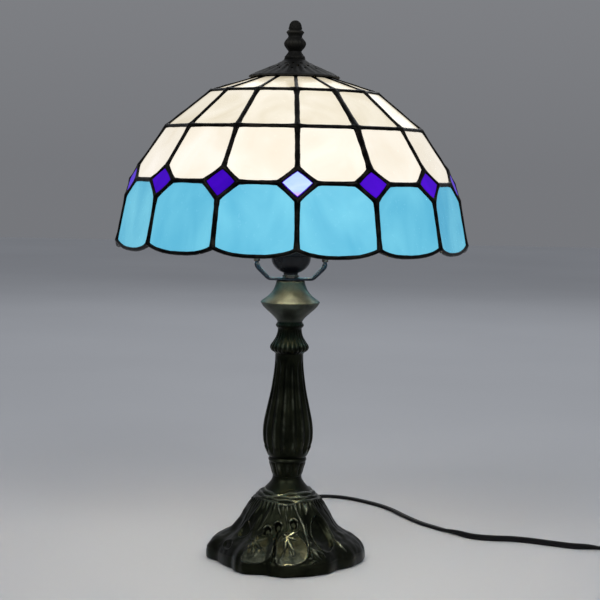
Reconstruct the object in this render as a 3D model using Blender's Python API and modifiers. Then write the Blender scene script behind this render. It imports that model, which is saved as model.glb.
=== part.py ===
"""A leaded-glass table lamp: a 14-column domed shade on a harp, over a cast bronze stand.

Sizes are written in millimetres and turned into metres when a mesh or a location is made.
+Z is up, the lamp stands on z = 0 with its axis on X = Y = 0, and its front faces -Y.
"""

import math

import bmesh
import bpy
from mathutils import Matrix, Vector

MM = 0.001
GAP = 0.3  # left between neighbouring pieces

# ---- driving dimensions, mm ------------------------------------------------------------------

# shade: circles through its corners, as (radius, height), from the aperture down to the rim
PANELS = 14
APERTURE = (31.0, 417.6)
ROW_1_FOOT = (71.8, 404.8)
ROW_2_FOOT = (109.7, 374.2)
ROW_3_FOOT = (140.2, 329.6)
RIM = (150.4, 278.2)
SCALLOP_DROP = 6.0  # how far each bottom pane hangs below the rim's notches
SCALLOP_POWER = 3.0  # higher is squarer
SCALLOP_STEPS = (0.12, 0.35, 0.65, 0.88)
JEWEL_HALF_WIDTH = 15.5
JEWEL_HALF_HEIGHT = 13.9
LEAD_HALF_WIDTH = 1.9
LEAD_THICKNESS = 4.2
GLASS_THICKNESS = 2.0
JEWEL_THICKNESS = 3.2
ROW_EDGE_GAP = 0.45
ROW_SLOT_THICKNESS = GLASS_THICKNESS + 2 * GAP

# lamp pipe, the tube that clamps the stand together
PIPE_RADIUS = 4.9
PIPE_BORE = 3.6
PIPE_FOOT, PIPE_TOP = 37.0, 256.6
PIPE_HOLE = PIPE_RADIUS + 0.35

# stand
FELT_RADIUS, FELT_THICKNESS = 65.5, 1.5
BASE_FOOT = FELT_THICKNESS + GAP
BASE_TOP = 73.6
BASE_RADIUS = 68.5  # mean radius of the foot's waved rim
BASE_CEILING = 46.0  # inside the hollow foot, where the washer bears
# one half of the waved rim, as (degrees from its start, radius)
LOBE_START = -180.0
LOBES = (
    (0.0, 69.6),
    (18.0, 61.8),
    (40.0, 62.6),
    (52.0, 69.2),
    (58.5, 71.0),
    (73.0, 66.5),
    (79.5, 69.2),
    (87.0, 72.0),
    (100.5, 69.8),
    (119.0, 67.5),
    (135.0, 62.1),
    (155.0, 65.4),
    (173.0, 68.4),
    (180.0, 69.6),
)
LOBES_FADE_IN, LOBES_FULL = 42.0, 20.0  # heights between which the waves grow
STEM_FOOT, STEM_TOP = 73.9, 208.35
BELL_FOOT, BELL_TOP = 208.65, 243.9

# harp and saddle
SADDLE_HEIGHT = 245.4  # middle of the strip
SADDLE_THICKNESS = 2.4
SADDLE_TOP = 266.6
LOCKNUT_FOOT, LOCKNUT_TOP = 246.9, 249.0
LOCKNUT_ACROSS_FLATS = 12.4
HARP_LEG_X = 29.5
HARP_FOOT, HARP_STRAIGHT_TOP = 266.9, 286.6
HARP_WIRE_RADIUS = 1.6
HARP_APEX = 408.2  # middle of the wire
HARP_BOW_X, HARP_BOW_Z = 45.0, 340.6
STUD_RADIUS, STUD_TOP = 3.15, 448.9
PLATE_RADIUS, PLATE_TOP = 9.0, 411.2
FERRULE_BORE, FERRULE_RADIUS = 2.15, 2.75
FERRULE_FOOT, FERRULE_TOP = 260.6, 276.6

# shade support and top stack
DISC_FOOT, DISC_TOP = 411.5, 413.6
DISC_RADIUS, BOSS_RADIUS, BOSS_TOP = 33.5, 28.6, 415.8
STUD_HOLE = 3.5
CAP_TOP = 433.6
WASHER_FOOT, WASHER_TOP = 433.9, 435.1
FINIAL_FOOT, FINIAL_TOP = 435.4, 467.0

# socket and bulb
SOCKET_NECK_FOOT = 249.3
SOCKET_DOME_TOP = 265.6
SOCKET_RADIUS = 17.5
SOCKET_TOP = 295.6
BULB_FOOT, BULB_SHELL_TOP = 271.7, 295.2
BULB_CENTRE, BULB_RADIUS = 337.6, 24.5

# mains lead
CORD_RADIUS = 2.0
CORD_REST = 2.05  # height of its centre line where it lies on the table
BUSHING_HEIGHT = 7.5
BUSHING_INNER_END, COLLAR_FACE, BUSHING_OUTER_END = 63.4, 72.1, 94.4
SWITCH_LENGTH, SWITCH_WIDTH, SWITCH_HEIGHT = 62.0, 25.0, 17.0
SWITCH_START = Vector((300.0, 43.0, 0.0))  # where the cord enters it
ROCKER_TILT = math.radians(9.0)
COIL_INNER, COIL_OUTER, COIL_HEIGHT = 19.0, 41.4, 7.0
COIL_TURN = 38.2  # radius of the outermost turn
COIL_CENTRE = Vector((394.8, SWITCH_START.y + COIL_TURN, 0.0))
LEAD_LENGTH = 32.2  # straight cord between the coil's outer turn and the switch or the plug
PLUG_LENGTH, PLUG_WIDTH, PLUG_HEIGHT = 30.0, 25.0, 14.0
BLADE_LENGTH, BLADE_WIDTH, BLADE_THICKNESS, BLADE_SPACING = 16.0, 6.3, 1.5, 12.7

# where the free cord runs, from the bushing round the back of the stand to the switch
CORD_ROUTE = (
    (0.0, BUSHING_OUTER_END + GAP, BUSHING_HEIGHT),
    (0.0, 106.0, 6.3),
    (0.0, 121.0, 3.2),
    (0.7, 142.0, CORD_REST),
    (3.0, 170.0, CORD_REST),
    (7.0, 203.0, CORD_REST),
    (15.0, 232.0, CORD_REST),
    (27.0, 252.0, CORD_REST),
    (42.0, 261.0, CORD_REST),
    (57.0, 260.5, CORD_REST),
    (71.0, 253.0, CORD_REST),
    (86.0, 238.0, CORD_REST),
    (101.0, 218.0, CORD_REST),
    (112.0, 196.0, CORD_REST),
    (121.0, 170.0, CORD_REST),
    (133.0, 141.0, CORD_REST),
    (146.0, 120.0, CORD_REST),
    (161.0, 98.0, CORD_REST),
    (175.0, 80.0, CORD_REST),
    (193.0, 73.0, CORD_REST),
    (211.0, 71.0, CORD_REST),
    (229.0, 64.0, CORD_REST),
    (246.0, 54.0, CORD_REST),
    (264.0, 45.0, CORD_REST),
    (281.0, 43.0, CORD_REST),
    (SWITCH_START.x - GAP, SWITCH_START.y, CORD_REST),
)
CORD_SPACING = 11.0

# ---- materials: colour, metallic, roughness, transmission ---------------------------------------

FINISHES = {
    "lead": ((0.075, 0.070, 0.062), 0.85, 0.42, 0.0),
    "cream_glass": ((0.90, 0.83, 0.66), 0.0, 0.25, 0.35),
    "warm_glass": ((0.95, 0.90, 0.76), 0.0, 0.25, 0.35),
    "blue_glass": ((0.30, 0.66, 0.82), 0.0, 0.22, 0.45),
    "violet_glass": ((0.16, 0.03, 0.72), 0.0, 0.15, 0.6),
    "dark_bronze": ((0.090, 0.078, 0.045), 0.75, 0.45, 0.0),
    "cap_bronze": ((0.070, 0.060, 0.045), 0.80, 0.40, 0.0),
    "harp_bronze": ((0.16, 0.12, 0.07), 0.90, 0.35, 0.0),
    "brass": ((0.72, 0.52, 0.22), 1.0, 0.30, 0.0),
    "zinc_steel": ((0.62, 0.62, 0.60), 1.0, 0.35, 0.0),
    "black_phenolic": ((0.018, 0.017, 0.016), 0.0, 0.35, 0.0),
    "black_vinyl": ((0.015, 0.015, 0.015), 0.0, 0.50, 0.0),
    "green_felt": ((0.05, 0.09, 0.05), 0.0, 0.95, 0.0),
    "frosted_glass": ((0.95, 0.93, 0.88), 0.0, 0.40, 0.5),
    "shell_aluminium": ((0.80, 0.80, 0.80), 1.0, 0.30, 0.0),
}


def remove_scene_objects():
    for ob in list(bpy.data.objects):
        bpy.data.objects.remove(ob, do_unlink=True)


def new_collection(name):
    collection = bpy.data.collections.new(name)
    bpy.context.scene.collection.children.link(collection)
    return collection


def make_materials():
    made = {}
    for name, (colour, metallic, roughness, transmission) in FINISHES.items():
        mat = bpy.data.materials.new(name)
        mat.use_nodes = True
        shader = mat.node_tree.nodes["Principled BSDF"]
        shader.inputs["Base Color"].default_value = (*colour, 1.0)
        shader.inputs["Metallic"].default_value = metallic
        shader.inputs["Roughness"].default_value = roughness
        shader.inputs["Transmission Weight"].default_value = transmission
        made[name] = mat
    return made


remove_scene_objects()
LAMP = new_collection("leaded_glass_table_lamp")
CUTTERS = new_collection("cutters")
MATERIALS = make_materials()


# ---- makers ------------------------------------------------------------------------------------


def millimetres(point):
    return Vector(point) * MM


def add(name, mesh, finish, at=(0.0, 0.0, 0.0), parent=None, smooth=True):
    """A named sub-part at a place in millimetres."""
    ob = bpy.data.objects.new(name, mesh)
    LAMP.objects.link(ob)
    ob.location = millimetres(at)
    if not mesh.materials:
        mesh.materials.append(MATERIALS[finish])
    if smooth and mesh.polygons:
        mesh.shade_smooth()
        mesh.set_sharp_from_angle(angle=math.radians(35))
    if parent:
        ob.parent = parent
    return ob


def add_axis(name, at):
    """An empty that marks a joint's axis, for the pieces that move on it."""
    empty = bpy.data.objects.new(name, None)
    empty.empty_display_size = 0.02
    empty.location = millimetres(at)
    LAMP.objects.link(empty)
    return empty


def add_cutter(name, mesh, at=(0.0, 0.0, 0.0)):
    ob = bpy.data.objects.new(name, mesh)
    CUTTERS.objects.link(ob)
    ob.location = millimetres(at)
    ob.hide_render = True
    ob.display_type = "WIRE"
    return ob


def combine(target, other, operation="DIFFERENCE"):
    mod = target.modifiers.new(f"{operation.lower()}_{other.name}", "BOOLEAN")
    mod.operation = operation
    mod.object = other
    mod.solver = "EXACT"
    return mod


def thicken(ob, thickness, offset=0.0):
    mod = ob.modifiers.new("thickness", "SOLIDIFY")
    mod.thickness = thickness * MM
    mod.offset = offset
    mod.use_even_offset = True
    return mod


def round_edges(ob, width, segments=2, angle=40):
    mod = ob.modifiers.new("rounded_edges", "BEVEL")
    mod.width = width * MM
    mod.segments = segments
    mod.limit_method = "ANGLE"
    mod.angle_limit = math.radians(angle)
    return mod


def turned(name, outline, finish, segments=20, closed=False, parent=None, axis_at=(0.0, 0.0)):
    """A turned piece from (radius, height) points that run down its outer side.

    closed joins the last point to the first, for a ring or tube that has a bore.
    """
    seat = min(height for _, height in outline)
    mesh = bpy.data.meshes.new(name)
    points = [(radius * MM, 0.0, (height - seat) * MM) for radius, height in outline]
    edges = [(i, i + 1) for i in range(len(points) - 1)]
    if closed:
        edges.append((len(points) - 1, 0))
    mesh.from_pydata(points, edges, [])
    ob = add(name, mesh, finish, at=(*axis_at, seat), parent=parent)
    mod = ob.modifiers.new("turning", "SCREW")
    mod.axis = "Z"
    mod.angle = math.tau
    mod.steps = segments
    mod.render_steps = segments
    mod.use_merge_vertices = True
    mod.merge_threshold = 0.00001
    mod.use_smooth_shade = True
    return ob


def cylinder_mesh(name, radius, length, sides=16, radius_top=None, turn=None, shift=(0.0, 0.0, 0.0)):
    bm = bmesh.new()
    bmesh.ops.create_cone(
        bm,
        cap_ends=True,
        segments=sides,
        radius1=radius * MM,
        radius2=(radius if radius_top is None else radius_top) * MM,
        depth=length * MM,
        matrix=Matrix.Translation(millimetres(shift)) @ (turn or Matrix()),
    )
    return finished(bm, name)


def box_mesh(name, size, shift=(0.0, 0.0, 0.0)):
    bm = bmesh.new()
    scale = Matrix.Diagonal((*millimetres(size), 1.0))
    bmesh.ops.create_cube(bm, size=1.0, matrix=Matrix.Translation(millimetres(shift)) @ scale)
    return finished(bm, name)


def finished(bm, name):
    mesh = bpy.data.meshes.new(name)
    bm.to_mesh(mesh)
    bm.free()
    return mesh


def smooth_path(points, spacing):
    """Points a fixed distance apart along a Catmull-Rom curve through the given ones."""
    pts = [Vector(p) for p in points]
    ends = [pts[0] * 2 - pts[1]] + pts + [pts[-1] * 2 - pts[-2]]
    dense = []
    for a, b, c, d in zip(ends, ends[1:], ends[2:], ends[3:]):
        for step in range(40):
            t = step / 40
            dense.append(
                0.5 * ((2 * b) + (c - a) * t + (2 * a - 5 * b + 4 * c - d) * t**2
                       + (3 * b - a - 3 * c + d) * t**3)
            )
    dense.append(pts[-1])
    lengths = [0.0]
    for p, q in zip(dense, dense[1:]):
        lengths.append(lengths[-1] + (q - p).length)
    count = max(2, round(lengths[-1] / spacing))
    out, i = [], 0
    for k in range(count + 1):
        want = lengths[-1] * k / count
        while i < len(lengths) - 2 and lengths[i + 1] < want:
            i += 1
        share = (want - lengths[i]) / max(lengths[i + 1] - lengths[i], 1e-9)
        out.append(dense[i].lerp(dense[i + 1], min(max(share, 0.0), 1.0)))
    return out


def tube(name, points, radius, finish, parent=None):
    """A round wire or cord along points in millimetres."""
    curve = bpy.data.curves.new(name, "CURVE")
    curve.dimensions = "3D"
    curve.bevel_depth = radius * MM
    curve.bevel_resolution = 2
    curve.use_fill_caps = True
    spline = curve.splines.new("POLY")
    spline.points.add(len(points) - 1)
    for place, point in zip(spline.points, points):
        place.co = (*millimetres(point), 1.0)
    curve.materials.append(MATERIALS[finish])
    ob = bpy.data.objects.new(name, curve)
    LAMP.objects.link(ob)
    if parent:
        ob.parent = parent
    return ob


def curve_to_mesh(ob):
    """The same piece as a mesh with welded caps, so that it can be cut or joined."""
    bpy.context.view_layer.update()
    evaluated = ob.evaluated_get(bpy.context.evaluated_depsgraph_get())
    mesh = bpy.data.meshes.new_from_object(evaluated)
    bm = bmesh.new()
    bm.from_mesh(mesh)
    bmesh.ops.remove_doubles(bm, verts=bm.verts, dist=0.000005)
    bm.to_mesh(mesh)
    bm.free()
    name, matrix, parent = ob.name, ob.matrix_world.copy(), ob.parent
    bpy.data.objects.remove(ob, do_unlink=True)
    made = bpy.data.objects.new(name, mesh)
    LAMP.objects.link(made)
    made.parent = parent
    made.matrix_world = matrix
    return made


# ---- shade -------------------------------------------------------------------------------------


def corner(ring, seam):
    """The shade's corner where a ring meets a seam. Seam 0 faces the front."""
    radius, height = ring
    angle = math.tau * seam / PANELS - math.pi / 2
    return Vector((radius * math.cos(angle), radius * math.sin(angle), height))


def towards(start, end, distance):
    return start + (end - start).normalized() * distance


def jewel_corners(seam):
    """Left, bottom, right and top of the diamond on a seam, as seen from outside."""
    middle = corner(ROW_3_FOOT, seam)
    return (
        towards(middle, corner(ROW_3_FOOT, seam - 1), JEWEL_HALF_WIDTH),
        towards(middle, corner(RIM, seam), JEWEL_HALF_HEIGHT),
        towards(middle, corner(ROW_3_FOOT, seam + 1), JEWEL_HALF_WIDTH),
        towards(middle, corner(ROW_2_FOOT, seam), JEWEL_HALF_HEIGHT),
    )


def plain_panel(upper, lower, seam):
    return (corner(lower, seam), corner(lower, seam + 1), corner(upper, seam + 1), corner(upper, seam))


def middle_panel(seam):
    """A third-row pane, whose lower corners make way for the diamonds."""
    _, _, right_of_left_jewel, top_of_left_jewel = jewel_corners(seam)
    left_of_right_jewel, _, _, top_of_right_jewel = jewel_corners(seam + 1)
    return (
        right_of_left_jewel,
        left_of_right_jewel,
        top_of_right_jewel,
        corner(ROW_2_FOOT, seam + 1),
        corner(ROW_2_FOOT, seam),
        top_of_left_jewel,
    )


def bottom_panel(seam):
    """A bottom pane: its upper corners make way for the diamonds, and its lower edge is a scallop."""
    _, bottom_of_left_jewel, right_of_left_jewel, _ = jewel_corners(seam)
    left_of_right_jewel, bottom_of_right_jewel, _, _ = jewel_corners(seam + 1)
    left, right = corner(RIM, seam), corner(RIM, seam + 1)
    upper_middle = (corner(ROW_3_FOOT, seam) + corner(ROW_3_FOOT, seam + 1)) / 2
    down = ((left + right) / 2 - upper_middle).normalized()
    scallop = [
        left.lerp(right, t) + down * SCALLOP_DROP * (1 - abs(2 * t - 1) ** SCALLOP_POWER)
        for t in SCALLOP_STEPS
    ]
    return (
        bottom_of_left_jewel,
        left,
        *scallop,
        right,
        bottom_of_right_jewel,
        left_of_right_jewel,
        right_of_left_jewel,
    )


def panel_mesh(name, outlines, inset, keep, region=False):
    """A sheet of panels, each given by its corners.

    keep "leads" keeps the strips beside the panels' edges, and "glass" keeps what is inside them.
    region insets the whole sheet's outer edges only, so that its panels stay joined.
    """
    bm = bmesh.new()
    for outline in outlines:
        bm.faces.new([bm.verts.new(millimetres(point)) for point in outline])
    bmesh.ops.remove_doubles(bm, verts=bm.verts, dist=0.00001)
    panels = list(bm.faces)
    if region:
        made = bmesh.ops.inset_region(
            bm, faces=panels, thickness=inset * MM, use_boundary=True, use_even_offset=True
        )
        unwanted = made["faces"]
    else:
        made = bmesh.ops.inset_individual(
            bm, faces=panels, thickness=inset * MM, use_even_offset=True
        )
        unwanted = panels if keep == "leads" else made["faces"]
    bmesh.ops.delete(bm, geom=unwanted, context="FACES")
    bm.normal_update()
    return finished(bm, name)


def make_shade(turning_axis):
    seams = range(PANELS)
    rows = {
        "glass_row_top": ([plain_panel(APERTURE, ROW_1_FOOT, s) for s in seams], "cream_glass"),
        "glass_row_upper": ([plain_panel(ROW_1_FOOT, ROW_2_FOOT, s) for s in seams], "cream_glass"),
        "glass_row_middle": ([middle_panel(s) for s in seams], "warm_glass"),
    }
    bottom = [bottom_panel(s) for s in seams]
    jewels = [jewel_corners(s) for s in seams]

    everything = [outline for outlines, _ in rows.values() for outline in outlines] + bottom + jewels
    lattice = add(
        "lead_lattice", panel_mesh("lead_lattice", everything, LEAD_HALF_WIDTH, "leads"),
        "lead", smooth=False, parent=turning_axis,
    )
    thicken(lattice, LEAD_THICKNESS)

    for name, (outlines, finish) in rows.items():
        # the seams are hollow where a row's glass runs through them
        slot = add_cutter(
            f"slot_for_{name}",
            panel_mesh(name, outlines, LEAD_HALF_WIDTH + ROW_EDGE_GAP - GAP, "glass", region=True),
        )
        thicken(slot, ROW_SLOT_THICKNESS)
        combine(lattice, slot)
        row = add(
            name, panel_mesh(name, outlines, LEAD_HALF_WIDTH + ROW_EDGE_GAP, "glass", region=True),
            finish, smooth=False, parent=turning_axis,
        )
        thicken(row, GLASS_THICKNESS)

    pane = panel_mesh("blue_pane", bottom[:1], LEAD_HALF_WIDTH + GAP, "glass")
    jewel = panel_mesh("jewel", jewels[:1], LEAD_HALF_WIDTH + GAP, "glass")
    for s in seams:
        turn = math.tau * s / PANELS
        ob = add(f"blue_pane_{s + 1:02d}", pane, "blue_glass", smooth=False, parent=turning_axis)
        ob.rotation_euler.z = turn
        thicken(ob, GLASS_THICKNESS)
        ob = add(f"jewel_{s + 1:02d}", jewel, "violet_glass", smooth=False, parent=turning_axis)
        ob.rotation_euler.z = turn
        thicken(ob, JEWEL_THICKNESS)
        round_edges(ob, 0.9, segments=1)


# ---- cap, finial and shade rest ------------------------------------------------------------------


def make_vented_cap(parent):
    cap = turned(
        "vented_cap",
        (
            (STUD_HOLE, CAP_TOP),
            (9.4, CAP_TOP),
            (13.2, 430.8),
            (18.0, 428.2),
            (26.0, 425.0),
            (34.0, 422.2),
            (38.3, 420.7),
            (39.3, 419.8),
            (39.3, 418.9),
            (38.3, 418.2),
            (36.2, 419.9),
            (26.0, 422.8),
            (18.0, 425.8),
            (12.6, 428.5),
            (STUD_HOLE, 431.8),
        ),
        "cap_bronze", segments=24, closed=True, parent=parent,
    )
    bm = bmesh.new()
    hole_ring, hole_radius, hole_length = 15.6, 1.5, 12.0
    for k in range(PANELS):
        turn = Matrix.Rotation(math.tau * (k + 0.5) / PANELS, 4, "Z")
        lean = Matrix.Rotation(math.radians(34), 4, "Y")
        place = Matrix.Translation(millimetres((hole_ring, 0.0, 428.2)))
        bmesh.ops.create_cone(
            bm, cap_ends=True, segments=6, radius1=hole_radius * MM, radius2=hole_radius * MM,
            depth=hole_length * MM, matrix=turn @ place @ lean,
        )
    combine(cap, add_cutter("vent_holes", finished(bm, "vent_holes")))
    return cap


def make_finial(axis):
    turned(
        "finial_washer",
        ((STUD_HOLE, WASHER_TOP), (8.6, WASHER_TOP), (9.1, 434.6), (9.1, WASHER_FOOT), (STUD_HOLE, WASHER_FOOT)),
        "cap_bronze", closed=True, parent=axis,
    )
    turned(
        "finial",
        (
            (0.0, FINIAL_TOP),
            (2.6, 466.1),
            (4.6, 463.4),
            (5.5, 460.4),
            (5.4, 459.0),
            (7.5, 457.9),
            (7.0, 456.0),
            (5.8, 453.2),
            (7.6, 450.9),
            (9.1, 448.4),
            (9.1, 445.8),
            (7.6, 443.0),
            (5.6, 440.6),
            (6.4, 438.2),
            (8.2, 436.2),
            (8.6, FINIAL_FOOT),
            (STUD_HOLE, FINIAL_FOOT),
            (STUD_HOLE, 450.3),
            (0.0, 452.1),
        ),
        "cap_bronze", segments=16, parent=axis,
    )


def make_shade_rest(parent):
    disc = turned(
        "shade_rest_disc",
        (
            (STUD_HOLE, BOSS_TOP),
            (7.0, BOSS_TOP),
            (9.0, DISC_TOP),
            (26.4, DISC_TOP),
            (27.4, BOSS_TOP),
            (BOSS_RADIUS, BOSS_TOP),
            (BOSS_RADIUS, DISC_TOP),
            (DISC_RADIUS, DISC_TOP - 0.6),
            (DISC_RADIUS, DISC_FOOT),
            (STUD_HOLE, DISC_FOOT),
        ),
        "brass", segments=20, closed=True, parent=parent,
    )
    bm = bmesh.new()
    for k in range(6):
        turn = Matrix.Rotation(math.tau * k / 6, 4, "Z")
        place = Matrix.Translation(millimetres((17.6, 0.0, DISC_TOP)))
        bmesh.ops.create_cone(
            bm, cap_ends=True, segments=8, radius1=5.6 * MM, radius2=5.6 * MM, depth=12 * MM,
            matrix=turn @ place,
        )
    combine(disc, add_cutter("heat_holes", finished(bm, "heat_holes")))


# ---- harp, saddle and ferrules ---------------------------------------------------------------------


def make_harp(axis):
    half = smooth_path(
        (
            (HARP_LEG_X, 0.0, HARP_STRAIGHT_TOP),
            (33.6, 0.0, 300.6),
            (41.5, 0.0, 319.6),
            (HARP_BOW_X, 0.0, HARP_BOW_Z),
            (42.6, 0.0, 362.6),
            (34.6, 0.0, 384.6),
            (22.5, 0.0, 400.6),
            (9.0, 0.0, HARP_APEX),
        ),
        10.0,
    )
    right = [Vector((HARP_LEG_X, 0.0, HARP_FOOT)), *half]
    left = [Vector((-p.x, p.y, p.z)) for p in reversed(right)]
    harp = curve_to_mesh(tube("harp", right + left, HARP_WIRE_RADIUS, "harp_bronze", parent=axis))
    plate = add_cutter(
        "harp_plate", cylinder_mesh("harp_plate", PLATE_RADIUS, PLATE_TOP - HARP_APEX, 16),
        at=(0.0, 0.0, (PLATE_TOP + HARP_APEX) / 2),
    )
    stud = add_cutter(
        "harp_stud", cylinder_mesh("harp_stud", STUD_RADIUS, STUD_TOP - HARP_APEX - 1.5, 12),
        at=(0.0, 0.0, (STUD_TOP + HARP_APEX + 1.5) / 2),
    )
    combine(harp, plate, "UNION")
    combine(harp, stud, "UNION")


def make_ferrules(axis):
    for name, side in (("ferrule_left", -1), ("ferrule_right", 1)):
        turned(
            name,
            (
                (FERRULE_BORE, FERRULE_TOP),
                (FERRULE_RADIUS - 0.3, FERRULE_TOP),
                (FERRULE_RADIUS, FERRULE_TOP - 1.0),
                (FERRULE_RADIUS, FERRULE_FOOT + 1.0),
                (FERRULE_RADIUS - 0.3, FERRULE_FOOT),
                (FERRULE_BORE, FERRULE_FOOT),
            ),
            "harp_bronze", segments=12, closed=True, parent=axis,
            axis_at=(side * HARP_LEG_X, 0.0),
        )


def make_saddle():
    """A strip of steel, wide at its hole, whose arms rise and narrow to fit the ferrules."""
    stations = (
        (0.0, SADDLE_HEIGHT, 8.0),
        (8.0, SADDLE_HEIGHT, 7.6),
        (14.0, SADDLE_HEIGHT, 5.4),
        (18.0, SADDLE_HEIGHT, 4.2),
        (20.0, SADDLE_HEIGHT + 1.0, 3.9),
        (23.2, 249.7, 3.4),
        (26.4, 253.7, 2.8),
        (28.7, 257.3, 2.0),
        (HARP_LEG_X, 260.3, 1.4),
        (HARP_LEG_X, SADDLE_TOP, 1.4),
    )
    sections = [(-x, z, w) for x, z, w in reversed(stations[1:])] + list(stations)
    bm = bmesh.new()
    near = [bm.verts.new(millimetres((x, -w, z))) for x, z, w in sections]
    far = [bm.verts.new(millimetres((x, w, z))) for x, z, w in sections]
    for i in range(len(sections) - 1):
        bm.faces.new((near[i], near[i + 1], far[i + 1], far[i]))
    saddle = add("harp_saddle", finished(bm, "harp_saddle"), "harp_bronze", smooth=False)
    thicken(saddle, SADDLE_THICKNESS)
    hole = cylinder_mesh("saddle_hole", PIPE_HOLE, 10.0, 20)
    combine(saddle, add_cutter("saddle_hole", hole, at=(0.0, 0.0, SADDLE_HEIGHT)))


def hex_nut(name, foot, top, across_flats, finish):
    nut = add(
        name, cylinder_mesh(name, across_flats / math.sqrt(3), top - foot, 6), finish,
        at=(0.0, 0.0, (foot + top) / 2), smooth=False,
    )
    bore = cylinder_mesh(f"{name}_bore", PIPE_HOLE, top - foot + 4.0, 20)
    combine(nut, add_cutter(f"{name}_bore", bore, at=(0.0, 0.0, (foot + top) / 2)))


# ---- socket and bulb -------------------------------------------------------------------------------


def make_socket():
    turned(
        "socket_cap",
        (
            (PIPE_HOLE, 251.6),
            (PIPE_HOLE, SOCKET_NECK_FOOT),
            (6.3, SOCKET_NECK_FOOT),
            (6.3, 250.8),
            (9.6, 252.2),
            (13.4, 255.2),
            (16.2, 259.4),
            (SOCKET_RADIUS, SOCKET_DOME_TOP),
            (SOCKET_RADIUS - 1.8, SOCKET_DOME_TOP),
            (14.4, 260.2),
            (11.8, 256.6),
            (8.4, 254.0),
        )[::-1],
        "black_phenolic", segments=18, closed=True,
    )
    foot = SOCKET_DOME_TOP + GAP
    turned(
        "socket_body",
        (
            (15.3, SOCKET_TOP),
            (SOCKET_RADIUS, SOCKET_TOP),
            (SOCKET_RADIUS, foot),
            (2.6, foot),
            (2.6, 268.6),
            (15.3, 268.6),
        ),
        "black_phenolic", segments=18, closed=True,
    )
    turned(
        "socket_screw_shell",
        (
            (13.7, 292.6),
            (14.7, 292.6),
            (14.7, 268.6 + GAP),
            (7.0, 268.6 + GAP),
            (7.0, 269.8),
            (13.7, 269.8),
        ),
        "shell_aluminium", segments=18, closed=True,
    )
    turned(
        "socket_contact",
        ((0.0, 271.2), (3.2, 270.8), (4.6, 269.5), (4.6, 268.6 + GAP), (0.0, 268.6 + GAP)),
        "brass", segments=12,
    )


def make_bulb(axis):
    turned(
        "bulb_base",
        (
            (0.0, BULB_SHELL_TOP),
            (12.9, BULB_SHELL_TOP),
            (13.1, 293.2),
            (13.1, 277.0),
            (11.9, 275.4),
            (8.0, 273.6),
            (4.6, 273.0),
            (4.2, 272.0),
            (0.0, BULB_FOOT),
        ),
        "shell_aluminium", segments=16, parent=axis,
    )
    neck_foot, neck_radius, wall = BULB_SHELL_TOP + GAP, 12.4, 0.9
    outer = [(0.0, BULB_CENTRE + BULB_RADIUS)]
    for degrees in (68, 45, 22, 0, -22, -42):
        angle = math.radians(degrees)
        outer.append((BULB_RADIUS * math.cos(angle), BULB_CENTRE + BULB_RADIUS * math.sin(angle)))
    outer += [(14.6, 313.6), (neck_radius, 302.6), (neck_radius, neck_foot)]
    inner = [(neck_radius - wall, neck_foot), (neck_radius - wall, 302.6), (14.6 - wall, 314.0)]
    for degrees in (-42, -10, 22, 55):
        angle = math.radians(degrees)
        inside = BULB_RADIUS - wall
        inner.append((inside * math.cos(angle), BULB_CENTRE + inside * math.sin(angle)))
    inner.append((0.0, BULB_CENTRE + BULB_RADIUS - wall))
    turned("bulb_glass", outer + inner, "frosted_glass", segments=16, parent=axis)


# ---- stand -----------------------------------------------------------------------------------------


def lobe_radius(angle):
    """The foot's outer radius. Its front and back halves have the same waves."""
    turn = (math.degrees(angle) - LOBE_START) % 180.0
    for (start, before), (end, after) in zip(LOBES, LOBES[1:]):
        if turn <= end:
            t = (turn - start) / (end - start)
            return before + (after - before) * t * t * (3 - 2 * t)
    return LOBES[-1][1]


def lobed_mesh(name, outline, segments=36):
    """A closed ring like a turned one, whose lower part follows the foot's waves."""
    bm = bmesh.new()
    rings = []
    for radius, height in outline:
        t = min(max((LOBES_FADE_IN - height) / (LOBES_FADE_IN - LOBES_FULL), 0.0), 1.0)
        share = t * t * (3 - 2 * t)
        ring = []
        for k in range(segments):
            angle = math.tau * k / segments
            r = radius * (1 + share * (lobe_radius(angle) / BASE_RADIUS - 1))
            ring.append(bm.verts.new(millimetres((r * math.cos(angle), r * math.sin(angle), height))))
        rings.append(ring)
    for upper, lower in zip(rings, rings[1:] + rings[:1]):
        for k in range(segments):
            m = (k + 1) % segments
            bm.faces.new((upper[k], lower[k], lower[m], upper[m]))
    return finished(bm, name)


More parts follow.
